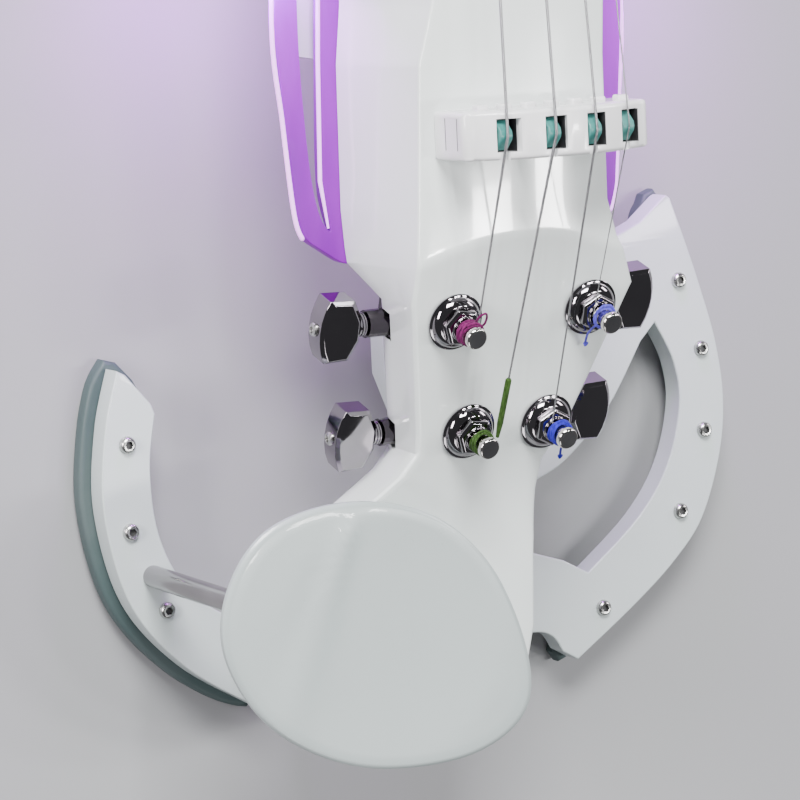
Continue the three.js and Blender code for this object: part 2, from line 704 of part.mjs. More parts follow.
for (const string of strings) {
  const { id, side } = string;
  const silk = paint(silkColour[id], 0.7, 0);
  const tuner = tunerGroup(string);
  violin.add(tuner);
  add(`string_${id}`, stringWire(string), finish.wire);
  add(`saddle_${id}`, saddle(string), finish.saddle);
  add(`bushing_${id}`, bushing(), finish.chrome, tuner);
  add(`gear_box_${id}`, gearBox(side), finish.chrome, tuner);
  add(`post_${id}`, tunerPost(), finish.chrome, tuner);
  add(`winding_${id}`, winding(), silk, tuner);
  add(`key_${id}`, tunerKey(side), finish.chrome, tuner);
}

for (const [name, side] of [['left', -1], ['right', 1]]) {
  add(`${name}_wing`, wing(side), finish.acrylic);
  add(`${name}_led_strip`, block(...ledSpan(side)), finish.led);
}

add('chin_rest', chinRest(), finish.satin);
add('left_arc_plate', leftPlate(), finish.satin);
add('right_arc_plate', rightPlate(), finish.satin);
add('left_arc_pad', pad(LEFT_EDGE, LEFT_SCREWS, 13), finish.rubber);
add('right_arc_pad', pad(RIGHT_EDGE, RIGHT_SCREWS, 12), finish.rubber);
add('left_arc_screws', screwStrip(LEFT_SCREWS), finish.steel);
add('right_arc_screws', screwStrip(RIGHT_SCREWS), finish.steel);
for (const [name, place] of Object.entries(RODS)) add(`rod_${name}`, rod(place), finish.steel);

add('battery', block(-18, 8, -8, 44, 41, 58), finish.cell);
add('preamp_board', block(-18, 12, 50, 104, 59, 61), finish.board);
add('output_jack', outputJack(), finish.chrome);
add('volume_knob', volumeKnob(), finish.chrome);
add('power_switch', powerSwitch(), finish.ebony);

violin.position.set(-ORIGIN.x, -ORIGIN.y, -ORIGIN.z);

export default violin;
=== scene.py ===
"""Looks for the headless electric violin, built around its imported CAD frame."""

import math
import random

import bmesh
import bpy
from mathutils import Matrix, Vector


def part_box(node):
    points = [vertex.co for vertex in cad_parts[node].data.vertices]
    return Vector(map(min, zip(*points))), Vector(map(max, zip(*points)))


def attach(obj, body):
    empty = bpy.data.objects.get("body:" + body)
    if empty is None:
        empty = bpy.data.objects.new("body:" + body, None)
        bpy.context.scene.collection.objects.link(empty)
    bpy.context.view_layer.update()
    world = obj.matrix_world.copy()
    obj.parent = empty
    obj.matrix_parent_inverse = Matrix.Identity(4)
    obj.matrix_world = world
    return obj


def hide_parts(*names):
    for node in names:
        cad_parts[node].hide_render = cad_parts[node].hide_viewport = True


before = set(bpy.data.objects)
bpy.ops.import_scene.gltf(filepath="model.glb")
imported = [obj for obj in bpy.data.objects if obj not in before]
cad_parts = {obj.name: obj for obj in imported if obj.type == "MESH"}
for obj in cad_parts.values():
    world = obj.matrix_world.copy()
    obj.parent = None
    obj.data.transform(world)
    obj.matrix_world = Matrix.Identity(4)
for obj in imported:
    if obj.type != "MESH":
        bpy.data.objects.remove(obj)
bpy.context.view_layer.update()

# ---------------------------------------------------------------- driving dimensions, in millimetres

MM = 0.001
GAP = 0.3  # clearance between parts that touch in the real object
CREST = 113  # height of the string arch over the bridge
STRING_FALL = 29  # how far that arch drops from the bridge to the nut
SCALE_LENGTH = 328
ARCH_RADIUS = 42
BRIDGE_SPACING = 12.1
NUT_SPACING = 5.5
BODY_TOP = 87.5
BODY_BOTTOM = 48
TOP_CROWN = 2.2  # the body's top is this much higher along its middle
DECK_Y, DECK_Z, DECK_TILT = -48.4, 82.4, 0.33  # a point on the tuner deck, and its slope in radians
DECK_THICKNESS = 20
BRIDGE_HALF = 27.5
BRIDGE_THICK = 6.2
BRIDGE_SHOULDER, BRIDGE_CROWN = 102, 111.3
GROOVES = (93.6, 99.4)
WING_LOW, WING_HIGH = 49.5, 53
WORM_Y, WORM_Z = -7, -18  # axis of a key's shaft from its post, across and down
PLATE_LOW, PLATE_HIGH = 10, 17.5
PAD_LOW, PAD_HIGH = 4.4, 9.7
PAD_OVERHANG = 3
CHIN_LOW, CHIN_HIGH = 66.3, 75
SOCKET = 3.35  # radius of the bore that a rod slides in

# Each tuner's side and post, its string's place from the middle in string spacings, how far the string
# passes beside the post's axis, and the string's radius.
TUNERS = {
    "g": {"side": -1, "post": (20.6, -48.4), "slot": -1.5, "lean": 2.6, "radius": 0.4},
    "d": {"side": -1, "post": (12.05, -79.0), "slot": -0.5, "lean": 4.2, "radius": 0.4},
    "a": {"side": 1, "post": (12.05, -79.0), "slot": 0.5, "lean": 2.9, "radius": 0.34},
    "e": {"side": 1, "post": (20.6, -48.4), "slot": 1.5, "lean": 4.1, "radius": 0.2},
}

# Each rod's place, its top, and the arc that carries it.
ROD_FEET = {
    "left_outer": ((-79.8, -116.8), 72.2, "left_arc"),
    "left_inner": ((-47, -142), 58, "left_arc"),
    "right_upper": ((3, -58), 69, "right_arc"),
    "right_lower": ((3, -134), 58, "right_arc"),
}

# Shapes are drawn about the bridge, as in the CAD; this places them in the row frame.
bridge_low, bridge_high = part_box("bridge")
BRIDGE_X = (bridge_low.x + bridge_high.x) / 2
BRIDGE_Y = bridge_low.y + BRIDGE_THICK * MM
DATUM_Z = bridge_low.z - (BODY_TOP + GAP) * MM
PLACE = Matrix.Translation((BRIDGE_X, BRIDGE_Y, DATUM_Z)) @ Matrix.Scale(MM, 4)


def deck_height(y):
    return DECK_Z + (y - DECK_Y) * math.tan(DECK_TILT)


def deck_underside(y):
    return deck_height(y) - DECK_THICKNESS / math.cos(DECK_TILT)


def arch_drop(x):
    """How far the string arch lies below its crest at x."""
    return ARCH_RADIUS - math.sqrt(ARCH_RADIUS**2 - x**2)


def tuner_frame(key):
    """Matrix of a tuner: its post stands along +Z, square to the deck."""
    tuner = TUNERS[key]
    x, y = tuner["post"]
    place = Matrix.Translation((tuner["side"] * x, y, deck_height(y)))
    return place @ Matrix.Rotation(DECK_TILT, 4, "X")


# ---------------------------------------------------------------- node materials


class Finish:
    """A Principled material with helpers for the textures that drive it."""

    def __init__(self, name, color, roughness, **sockets):
        self.material = bpy.data.materials.new(name)
        self.material.use_nodes = True
        self.nodes = self.material.node_tree.nodes
        self.links = self.material.node_tree.links
        self.shader = self.nodes["Principled BSDF"]
        self.shader.inputs["Base Color"].default_value = (*color, 1)
        self.shader.inputs["Roughness"].default_value = roughness
        for socket, value in sockets.items():
            self.shader.inputs[socket.replace("_", " ")].default_value = value
        self.coordinates = self.nodes.new("ShaderNodeTexCoord").outputs["Object"]

    def mapped(self, scale):
        mapping = self.nodes.new("ShaderNodeMapping")
        mapping.inputs["Scale"].default_value = scale
        self.links.new(self.coordinates, mapping.inputs["Vector"])
        return mapping.outputs["Vector"]

    def noise(self, scale, detail=4, stretch=(1, 1, 1), roughness=0.5):
        node = self.nodes.new("ShaderNodeTexNoise")
        node.inputs["Scale"].default_value = scale
        node.inputs["Detail"].default_value = detail
        node.inputs["Roughness"].default_value = roughness
        self.links.new(self.mapped(stretch), node.inputs["Vector"])
        return node.outputs["Fac"]

    def span(self, value, low, high, start=0.3, end=0.7):
        """Stretches a value from start-end to low-high."""
        node = self.nodes.new("ShaderNodeMapRange")
        limits = {"From Min": start, "From Max": end, "To Min": low, "To Max": high}
        for socket, number in limits.items():
            node.inputs[socket].default_value = number
        self.links.new(value, node.inputs["Value"])
        return node.outputs["Result"]

    def ramp(self, value, *stops):
        """Colours a value by (position, colour) stops."""
        node = self.nodes.new("ShaderNodeValToRGB")
        elements = node.color_ramp.elements
        while len(elements) < len(stops):
            elements.new(0.5)
        for element, (position, color) in zip(elements, stops):
            element.position = position
            element.color = (*color, 1)
        self.links.new(value, node.inputs["Fac"])
        return node.outputs["Color"]

    def drive(self, socket, value):
        self.links.new(value, self.shader.inputs[socket])

    def bump(self, value, distance, strength=0.5):
        node = self.nodes.new("ShaderNodeBump")
        node.inputs["Distance"].default_value = distance
        node.inputs["Strength"].default_value = strength
        self.links.new(value, node.inputs["Height"])
        if self.shader.inputs["Normal"].is_linked:
            self.links.new(self.shader.inputs["Normal"].links[0].from_socket, node.inputs["Normal"])
        self.links.new(node.outputs["Normal"], self.shader.inputs["Normal"])


def lacquer(name, color, low, high, coat=0.6):
    """Sprayed lacquer: faint orange peel, polish marks and a slight drift in tone."""
    finish = Finish(name, color, low, Coat_Weight=coat, Coat_Roughness=0.04, IOR=1.5)
    drift = finish.noise(9, 3)
    dark = tuple(c * 0.965 for c in color)
    finish.drive("Base Color", finish.ramp(drift, (0.3, dark), (0.7, color)))
    finish.drive("Roughness", finish.span(finish.noise(60, 8, roughness=0.65), low, high))
    finish.bump(finish.noise(420, 2), 0.00004, 0.18)
    return finish.material


def metal(name, color, low, high, stretch=(1, 1, 1), scale=300, depth=0.000004):
    """Metal with smudges in its polish and fine marks stretched along one axis."""
    finish = Finish(name, color, low, Metallic=1)
    smudge = finish.noise(45, 5)
    dark = tuple(c * 0.82 for c in color)
    finish.drive("Base Color", finish.ramp(smudge, (0.35, dark), (0.7, color)))
    finish.drive("Roughness", finish.span(finish.noise(scale, 6, stretch), low, high))
    finish.bump(finish.noise(scale * 2, 4, stretch), depth, 0.35)
    return finish.material


def plastic(name, color, low, high, grain=900, depth=0.00003):
    """Moulded plastic or rubber with a fine grain and dusty patches."""
    finish = Finish(name, color, low)
    dust = finish.noise(30, 6)
    pale = tuple(c + (0.5 - c) * 0.06 for c in color)
    finish.drive("Base Color", finish.ramp(dust, (0.4, color), (0.75, pale)))
    finish.drive("Roughness", finish.span(dust, low, high))
    finish.bump(finish.noise(grain, 3), depth, 0.5)
    return finish.material


def silk_thread(name, color):
    """Twisted silk: fine strands running round the thread, with a soft sheen."""
    finish = Finish(name, color, 0.75, Sheen_Weight=0.15, Sheen_Roughness=0.4, Specular_IOR_Level=0.15)
    strand = finish.noise(2600, 3, (1, 0.25, 0.25))
    pale = tuple(min(1, c * 1.9 + 0.01) for c in color)
    finish.drive("Base Color", finish.ramp(strand, (0.35, color), (0.7, pale)))
    finish.bump(strand, 0.00012, 0.8)
    return finish.material


def acrylic():
    """Frosted violet acrylic, lit from its inner edge and bright again along the outer one."""
    finish = Finish("violet_acrylic", (0.25, 0.005, 0.42), 0.4, Specular_IOR_Level=0.15)
    cloud = finish.noise(35, 6, (1, 0.25, 1))
    glow = finish.ramp(cloud, (0.3, (0.42, 0.0, 0.7)), (0.6, (0.62, 0.0, 1.0)))
    finish.drive("Base Color", finish.ramp(cloud, (0.3, (0.10, 0.0, 0.22)), (0.6, (0.26, 0.004, 0.42))))
    finish.drive("Emission Color", glow)
    place = finish.nodes.new("ShaderNodeSeparateXYZ")
    finish.links.new(finish.coordinates, place.inputs["Vector"])
    finish.drive("Emission Strength", finish.span(place.outputs["Y"], 0.12, 0.75, -0.115, -0.045))
    finish.bump(finish.noise(700, 3), 0.00004, 0.4)
    return finish.material


def glowing(name, color, strength):
    """Lit strip with faint bands along it."""
    finish = Finish(name, color, 0.5)
    band = finish.noise(90, 2, (1, 0.3, 1))
    pale = tuple(min(1, c * 1.15) for c in color)
    finish.drive("Emission Color", finish.ramp(band, (0.35, color), (0.65, pale)))
    finish.shader.inputs["Emission Strength"].default_value = strength
    return finish.material


def wound_wire():
    """String wire with its fine round winding; shade is painted into the valleys between turns and a
    highlight onto their crowns.
    """
    finish = Finish("string_wire", (0.30, 0.30, 0.31), 0.3, Metallic=0.9)
    wave = finish.nodes.new("ShaderNodeTexWave")
    wave.bands_direction = "Y"
    wave.inputs["Scale"].default_value = 1200
    finish.links.new(finish.coordinates, wave.inputs["Vector"])
    # Painted shade darkens the valleys between the turns, and a painted highlight lightens their crowns.
    valley_shade, crown = (0.12, 0.12, 0.13), (0.45, 0.45, 0.46)
    finish.drive("Base Color", finish.ramp(wave.outputs["Fac"], (0.1, valley_shade), (0.8, crown)))
    finish.bump(wave.outputs["Fac"], 0.00005, 0.6)
    return finish.material


def ebony():
    """Dark wood with a faint straight grain along the board."""
    finish = Finish("black_board", (0.03, 0.027, 0.03), 0.4, Specular_IOR_Level=0.2)
    grain = finish.noise(60, 8, (6, 0.25, 6), 0.6)
    dark, pale = (0.018, 0.016, 0.018), (0.055, 0.046, 0.045)
    finish.drive("Base Color", finish.ramp(grain, (0.35, dark), (0.7, pale)))
    finish.drive("Roughness", finish.span(grain, 0.34, 0.5))
    finish.bump(grain, 0.00004, 0.3)
    return finish.material


def circuit():
    """Green board with small brass-coloured pads."""
    green, brass = (0.02, 0.12, 0.06), (0.45, 0.33, 0.1)
    finish = Finish("circuit_board", green, 0.4)
    cells = finish.nodes.new("ShaderNodeTexVoronoi")
    cells.inputs["Scale"].default_value = 260
    finish.links.new(finish.coordinates, cells.inputs["Vector"])
    finish.drive("Base Color", finish.ramp(cells.outputs["Distance"], (0.2, brass), (0.35, green)))
    finish.bump(cells.outputs["Distance"], 0.0001, 0.4)
    return finish.material


WHITE = lacquer("white_lacquer", (0.78, 0.83, 0.815), 0.10, 0.2)
SATIN = lacquer("satin_white", (0.40, 0.455, 0.45), 0.26, 0.36, coat=0.25)
ARC_WHITE = lacquer("arc_white", (0.56, 0.62, 0.615), 0.3, 0.4, coat=0.2)
BRIDGE_WHITE = lacquer("bridge_white", (0.84, 0.84, 0.85), 0.18, 0.28, coat=0.4)
COVER_WHITE = plastic("cover_white", (0.68, 0.71, 0.71), 0.3, 0.45)
TEAL = plastic("teal_saddle", (0.045, 0.21, 0.19), 0.3, 0.45)
CHROME = metal("dark_chrome", (0.30, 0.28, 0.30), 0.03, 0.1)
# The tuner chrome darkened for the gear boxes under the deck: painted shade.
SHADED_GEAR_CHROME = metal("gear_chrome", (0.09, 0.08, 0.09), 0.1, 0.22)
BRIGHT_CHROME = metal("bright_chrome", (0.78, 0.74, 0.72), 0.05, 0.16)
STEEL = metal("brushed_steel", (0.40, 0.38, 0.39), 0.14, 0.26, (1, 1, 0.03), 1400, 0.000006)
SCREW_STEEL = metal("screw_steel", (0.58, 0.58, 0.56), 0.18, 0.34)
RUBBER = plastic("pad_rubber", (0.055, 0.085, 0.085), 0.5, 0.7, 500, 0.0001)
BLACK = plastic("black_plastic", (0.02, 0.02, 0.022), 0.35, 0.5)
CELL = plastic("cell_wrap", (0.03, 0.03, 0.04), 0.3, 0.45)
VIOLET = acrylic()
LIGHT = glowing("light_strip", (0.82, 0.34, 1.0), 1.5)
WIRE = wound_wire()
EBONY = ebony()
CIRCUIT = circuit()
SILK = {
    "g": silk_thread("silk_magenta", (0.085, 0.002, 0.05)),
    "d": silk_thread("silk_green", (0.016, 0.042, 0.004)),
    "a": silk_thread("silk_blue", (0.012, 0.008, 0.24)),
    "e": silk_thread("silk_lilac", (0.055, 0.045, 0.33)),
}

# ---------------------------------------------------------------- mesh helpers


def made(name, verts, faces, material, body="violin", sharp=35, matrix=Matrix()):
    """A mesh object from millimetres about the bridge, riding on a body; body None leaves it loose."""
    mesh = bpy.data.meshes.new(name)
    mesh.from_pydata([PLACE @ matrix @ Vector(v) for v in verts], [], faces)
    mesh.validate()
    return dressed(bpy.data.objects.new(name, mesh), material, body, sharp)


def dressed(piece, material, body, sharp):
    bpy.context.scene.collection.objects.link(piece)
    mesh = piece.data
    mesh.materials.append(material)
    mesh.shade_smooth()
    mesh.set_sharp_from_angle(angle=math.radians(sharp))
    if body:
        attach(piece, body)
    return piece


def once_round(count):
    """Angles of evenly spaced points round a circle."""
    return [math.tau * k / count for k in range(count)]


def circle(x, y, radius, count=24):
    return [(x + radius * math.cos(a), y + radius * math.sin(a)) for a in once_round(count)]


def hexagon_reach(a):
    """Distance from a hexagon's middle to its side in direction a; its corners lie at 1."""
    return math.cos(math.pi / 6) / math.cos(a % (math.pi / 3) - math.pi / 6)


def skin(rings, close=True):
    """Vertices and faces over rings of equal size, with a cap on each end if closed."""
    n = len(rings[0])
    faces = [
        (i * n + j, i * n + (j + 1) % n, (i + 1) * n + (j + 1) % n, (i + 1) * n + j)
        for i in range(len(rings) - 1)
        for j in range(n)
    ]
    if close:
        last = (len(rings) - 1) * n
        faces += [tuple(reversed(range(n))), tuple(range(last, last + n))]
    return [v for ring in rings for v in ring], faces


def lathe(name, profile, material, body="violin", matrix=Matrix(), sides=48, sharp=35, bored=False):
    """Turned piece about +Z of `matrix` from (radius, height) pairs.

    It is capped at its ends; a bored one is a ring whose last profile point joins the first.
    """
    rings = [[(r * math.cos(a), r * math.sin(a), z) for a in once_round(sides)] for r, z in profile]
    if bored:
        rings.append(rings[0])
    piece = made(name, *skin(rings, close=not bored), material, body, sharp, matrix)
    if bored:
        fused = bmesh.new()
        fused.from_mesh(piece.data)
        bmesh.ops.remove_doubles(fused, verts=fused.verts, dist=0.001 * MM)
        fused.to_mesh(piece.data)
        fused.free()
    return piece


def spline(points, steps=8, closed=False):
    """Smooth Catmull-Rom line through points."""
    n = len(points)
    line = []
    for i in range(n if closed else n - 1):
        near = [(i + k) % n if closed else max(0, min(n - 1, i + k)) for k in (-1, 0, 1, 2)]
        a, b, c, d = [Vector(points[k]) for k in near]
        for s in range(steps):
            t = s / steps
            square = (2 * a - 5 * b + 4 * c - d) * t**2
            cube = (3 * b - a - 3 * c + d) * t**3
            line.append(tuple(0.5 * (2 * b + (c - a) * t + square + cube)))
    if not closed:
        line.append(tuple(points[-1]))
    return line


def tube(name, points, radius, material, body="violin", sides=10, matrix=Matrix()):
    """Round thread along points, with rounded ends."""
    rings = []
    path = [Vector(p) for p in points]
    normal = (path[1] - path[0]).orthogonal().normalized()
    last = len(path) - 1
    for i, p in enumerate(path):
        way = (path[min(last, i + 1)] - path[max(0, i - 1)]).normalized()
        normal = (normal - way * normal.dot(way)).normalized()
        across = way.cross(normal)
        r = radius * (0.55 if i in (0, last) else 1)
        rings.append([p + (normal * math.cos(a) + across * math.sin(a)) * r for a in once_round(sides)])
    return made(name, *skin(rings), material, body, 80, matrix)


def shown_mesh(piece):
    """New mesh of a piece as it is shown, with its modifiers applied."""
    return bpy.data.meshes.new_from_object(piece.evaluated_get(bpy.context.evaluated_depsgraph_get()))


def flat_piece(name, outlines, low, high, edge, material, body="violin", matrix=Matrix(), sharp=35):
    """Flat piece between two heights, cut to outlines (the later ones are holes), with rounded edges."""
    curve = bpy.data.curves.new(name, "CURVE")
    curve.dimensions = "2D"
    curve.fill_mode = "BOTH"
    curve.extrude = (high - low) / 2 - edge
    curve.bevel_depth = edge
    curve.bevel_resolution = 2
    curve.offset = -edge
    for outline in outlines:
        line = curve.splines.new("POLY")
        line.points.add(len(outline) - 1)
        for point, (x, y) in zip(line.points, outline):
            point.co = (x, y, 0, 1)
        line.use_cyclic_u = True
    flat = bpy.data.objects.new(name + "_curve", curve)
    bpy.context.scene.collection.objects.link(flat)
    mesh = shown_mesh(flat)
    bpy.data.objects.remove(flat)
    mesh.name = name
    mesh.materials.clear()
    mesh.transform(PLACE @ matrix @ Matrix.Translation((0, 0, (low + high) / 2)))
    piece = dressed(bpy.data.objects.new(name, mesh), material, body, sharp)
    weld = piece.modifiers.new("weld", "WELD")
    weld.merge_threshold = 0.002 * MM
    piece.modifiers.new("flat_faces", "WEIGHTED_NORMAL").keep_sharp = True
    return piece


def soften(piece, width, segments=3, angle=40):
    """Rounds a piece's sharp edges."""
    bevel = piece.modifiers.new("edges", "BEVEL")
    bevel.width = width * MM
    bevel.segments = segments
    bevel.limit_method = "ANGLE"
    bevel.angle_limit = math.radians(angle)
    bevel.harden_normals = True
    return piece


def box(low, high):
    """Vertices and faces of a block between two corners."""
    ring = [(low[0], low[1]), (high[0], low[1]), (high[0], high[1]), (low[0], high[1])]
    return skin([[(x, y, z) for x, y in ring] for z in (low[2], high[2])])


def carved(piece, cutters):
    """Takes loose cutter objects out of a piece."""
    for cutter in cutters:
        cut = piece.modifiers.new("cut", "BOOLEAN")
        cut.operation = "DIFFERENCE"
        cut.solver = "EXACT"
        cut.object = cutter
    bpy.context.view_layer.update()
    mesh = shown_mesh(piece)
    piece.modifiers.clear()
    piece.data = mesh
    for cutter in cutters:
        bpy.data.objects.remove(cutter)
    mesh.shade_smooth()
    mesh.set_sharp_from_angle(angle=math.radians(35))
    return piece


def cutter_box(low, high, matrix=Matrix()):
    return made("cutter", *box(low, high), BLACK, None, matrix=matrix)


def cutter_rod(radius, low, high, matrix=Matrix(), sides=40):
    return lathe("cutter", [(radius, low), (radius, high)], BLACK, None, matrix, sides)


def standing(x, y, z=0):
    """Matrix that stands a lathe's +Z upright at a place."""
    return Matrix.Translation((x, y, z))


def along_x(y, z):
    """Matrix that turns a lathe's +Z to +X at y, z."""
    return Matrix.Translation((0, y, z)) @ Matrix.Rotation(math.pi / 2, 4, "Y")


def stand_in(piece, slot, *nodes):
    """The piece is shown in place of CAD nodes, which are hidden; slot is not used."""
    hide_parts(*nodes)
    return piece


# ---------------------------------------------------------------- body

# y, left edge, right edge, lowest height (None: the deck's underside), how far the wall's foot stands out
BODY = [
    (152, -17.5, 17.5, 50, 2),
    (118, -20, 20, BODY_BOTTOM, 7),
    (60, -22.5, 22.5, BODY_BOTTOM, 11),
    (33, -26, 25.8, BODY_BOTTOM, 9),
    (18, -30.5, 25, BODY_BOTTOM, 6),
    (-20, -32.5, 24.8, BODY_BOTTOM, 4.5),
    (-30, -33.2, 27.4, BODY_BOTTOM, 3),
    (-34, -33.4, 29.6, 51.5, 2),
    (-43, -33.5, 33.6, None, -1.5),
    (-79, -27, 20, None, -2),
    (-84, -26.5, 16.8, None, -2.5),
    (-90, -30.8, 13.4, None, -2.5),
    (-98, -41, 12.6, 45, -2),
    (-112, -58, 13, 42, -1),
    (-136, -60, 12, 42, -1),
    (-152, -50, 8, 43, -1),
    (-161, -38, 0, 46, -1),
]


def body_at(y):
    """Left edge, right edge, lowest height and foot of the body at y."""
    for (y1, *ahead), (y0, *behind) in zip(BODY, BODY[1:]):
        if y0 <= y <= y1:
            t = (y - y0) / (y1 - y0)
            ahead[2] = deck_underside(y1) if ahead[2] is None else ahead[2]
            behind[2] = deck_underside(y0) if behind[2] is None else behind[2]
            return [b + (a - b) * t for a, b in zip(ahead, behind)]


def softmin(a, b, width):
    """The smaller of two heights, blended over `width` millimetres."""
    h = max(0.0, width - abs(a - b)) / width
    return min(a, b) - h * h * width / 4


def softmax(a, b, width):
    return -softmin(-a, -b, width)


def body_top(x, y, left, right):
    """Crowned top, cut by the sloping deck, then the low bracket under the chin rest."""
    middle, half = (left + right) / 2, (right - left) / 2
    crown = BODY_TOP + TOP_CROWN * (1 - ((x - middle) / half) ** 2) - max(0, y - 118) * 0.11
    deck = softmin(crown, deck_height(y), 0.5)
    bracket = 62.5 + 0.5 * math.cos(x / 12)
    return softmax(deck, bracket, 4) if y < -84 else deck


def body_ring(y):
    """Section of the body: its top from right to left, then down the left wall and up the right one."""
    left, right, low, foot = body_at(y)
    ring = []
    r = 1.3  # of the rounded upper edges
    steps = 22
    for i in range(steps + 1):
        x = right - r - (right - left - 2 * r) * i / steps
        ring.append((x, y, body_top(x, y, left, right)))
    z_left, z_right = ring[-1][2], ring[0][2]
    for a in (25, 50, 75, 90):
        s, c = math.sin(math.radians(a)), math.cos(math.radians(a))
        ring.append((left + r - r * s, y, z_left - r + r * c))
    for t in (0.25, 0.5, 0.75):
        ring.append((left - foot * t, y, z_left - r + (low + 2 + r - z_left) * t))
    ring += [(left - foot, y, low + 2), (left - foot + 0.6, y, low + 0.6), (left - foot + 2, y, low)]
    ring += [(right + foot - 2, y, low), (right + foot - 0.6, y, low + 0.6), (right + foot, y, low + 2)]
    for t in (0.75, 0.5, 0.25):
        ring.append((right + foot * t, y, z_right - r + (low + 2 + r - z_right) * t))
    for a in (90, 75, 50, 25):
        s, c = math.sin(math.radians(a)), math.cos(math.radians(a))
        ring.append((right - r + r * s, y, z_right - r + r * c))
    return ring


stations = {152 - 2.5 * i for i in range(126)}
stations |= {-21.5 - 0.6 * i for i in range(26)}  # the crease where the deck begins
stations = sorted(stations | {s[0] for s in BODY}, reverse=True)
shell = made("body", *skin([body_ring(y) for y in stations]), WHITE, sharp=40)


WING_EDGE = [(25.5, -34), (36, -34.5), (47.2, -27), (49.4, -20), (53.4, 30), (49, 74), (37, 108), (25.5, 116)]


def wing_outline(side, grow=0):
    """Outline of a wing with rounded corners; the pocket in the body is grown, most of all outwards."""
    grown = []
    for x, y in WING_EDGE:
        out = -grow if x < 26 else 3 * grow
        along = -grow if y < -30 else grow if y > 100 else 0
        grown.append((x + out, y + along))
    rounded = []
    for i, p in enumerate(grown):
        before, after = Vector(grown[i - 1]), Vector(grown[(i + 1) % len(grown)])
        corner = Vector(p)
        reach = min(4, (corner - before).length * 0.3, (after - corner).length * 0.3)
        start = corner + (before - corner).normalized() * reach
        end = corner + (after - corner).normalized() * reach
        for t in (0, 0.25, 0.5, 0.75, 1):
            rounded.append(tuple(start * (1 - t) ** 2 + corner * 2 * t * (1 - t) + end * t * t))
    return [(side * x, y) for x, y in rounded]


def wing_cutter(side):
    line = wing_outline(side, GAP)
    if side < 0:
        line.reverse()
    return made("cutter", *skin([[(x, y, z) for x, y in line] for z in (47, WING_HIGH + GAP)]), BLACK, None)


cutters = [wing_cutter(side) for side in (-1, 1)]
cutters.append(cutter_box((-21, -26, 47), (15, 112, 79)))  # hollow for the battery and the board
for key, tuner in TUNERS.items():
    # A bore for the bushing, room for the gear box, and a slot for the key's shaft.
    here = tuner_frame(key)
    cutters.append(cutter_rod(4.5, -16, 4, here))
    cutters.append(cutter_box((-9.3, -11.3, -30), (9.3, 6.8, -12), here))
    shaft_start, shaft_end = (8, 45) if tuner["side"] > 0 else (-45, -8)
    cutters.append(cutter_box((shaft_start, WORM_Y - 4, -40), (shaft_end, WORM_Y + 4, WORM_Z + 4), here))
# Three rods slide in the body; the left outer one slides in the chin rest.
for name in ("left_inner", "right_upper", "right_lower"):
    (x, y), top, _ = ROD_FEET[name]
    cutters.append(cutter_rod(SOCKET, 20, top + GAP, standing(x, y)))
carved(shell, cutters)
stand_in(shell, "shell_white", "body_shell")

# ---------------------------------------------------------------- wings

WING_SLOT = [
    (39.6, -25), (43, -19.5), (45.2, -4), (46.4, 26), (45, 56),
    (40.4, 88), (38, 84), (38.6, 56), (40.6, 20), (41.8, -12),
]
WING_RIM = [(47.6, -27), (49.8, -20), (51.9, 4), (53.6, 30), (49.2, 74), (37.2, 108)]
WING_LIP = [(40.2, -24.4), (42.0, -12), (40.9, 20), (38.9, 56), (38.2, 83)]

for side, name in ((-1, "left"), (1, "right")):
    hole = spline([(side * x, y) for x, y in WING_SLOT], 6, closed=True)
    wing = flat_piece(f"{name}_wing_acrylic", [wing_outline(side), hole], WING_LOW, WING_HIGH, 0.35, VIOLET)
    stand_in(wing, "wing_violet", f"{name}_wing")
    rim_line = spline([(side * x, y) for x, y in WING_RIM], 8)
    rim = tube(f"{name}_wing_rim", [(x, y, WING_HIGH - 0.8) for x, y in rim_line], 0.65, LIGHT, sides=8)
    lip_line = [(side * x, y, WING_HIGH - 0.3) for x, y in WING_LIP]
    # Each bend is given twice, so that it stays sharp.
    kinked = [point for pair in zip(lip_line, lip_line[1:]) for point in pair]
    lip = tube(f"{name}_wing_lip", kinked, 0.6, LIGHT, sides=8)

# ---------------------------------------------------------------- bridge and saddles


def bridge_outline():
    """Upright block with rounded shoulders under an arched top."""
    half, shoulder = BRIDGE_HALF, BRIDGE_SHOULDER
    floor = BODY_TOP + GAP
    wide, tall = 2.4, 2.2  # of a rounded shoulder
    bend = [(wide * (1 - math.cos(a)), shoulder + tall * math.sin(a)) for a in (0.5, 1.0, 1.4)]
    line = [(-half, floor), (half, floor), (half, shoulder)]
    line += [(half - x, z) for x, z in bend]
    top = half - wide
    for i in range(25):
        x = top - 2 * top * i / 24
        line.append((x, shoulder + tall + (BRIDGE_CROWN - shoulder - tall) * (1 - (x / top) ** 2)))
    line += [(x - half, z) for x, z in reversed(bend)]
    line.append((-half, shoulder))
    return line


def crest(key):
    """Where a string crosses the bridge: x and height."""
    x = TUNERS[key]["slot"] * BRIDGE_SPACING
    return x, CREST - arch_drop(x)


def string_end(key):
    """Where a string lands on its winding."""
    tuner = TUNERS[key]
    post_x, post_y = tuner["post"]
    reach = 3.7 + GAP + tuner["radius"]  # from the post's axis, just clear of the winding
    rise = 8.35  # height along the post
    return (
        tuner["side"] * (post_x - tuner["lean"]),
        post_y + math.sqrt(reach**2 - tuner["lean"] ** 2) - rise * math.sin(DECK_TILT),
        deck_height(post_y) + rise * math.cos(DECK_TILT) + 0.4,
    )


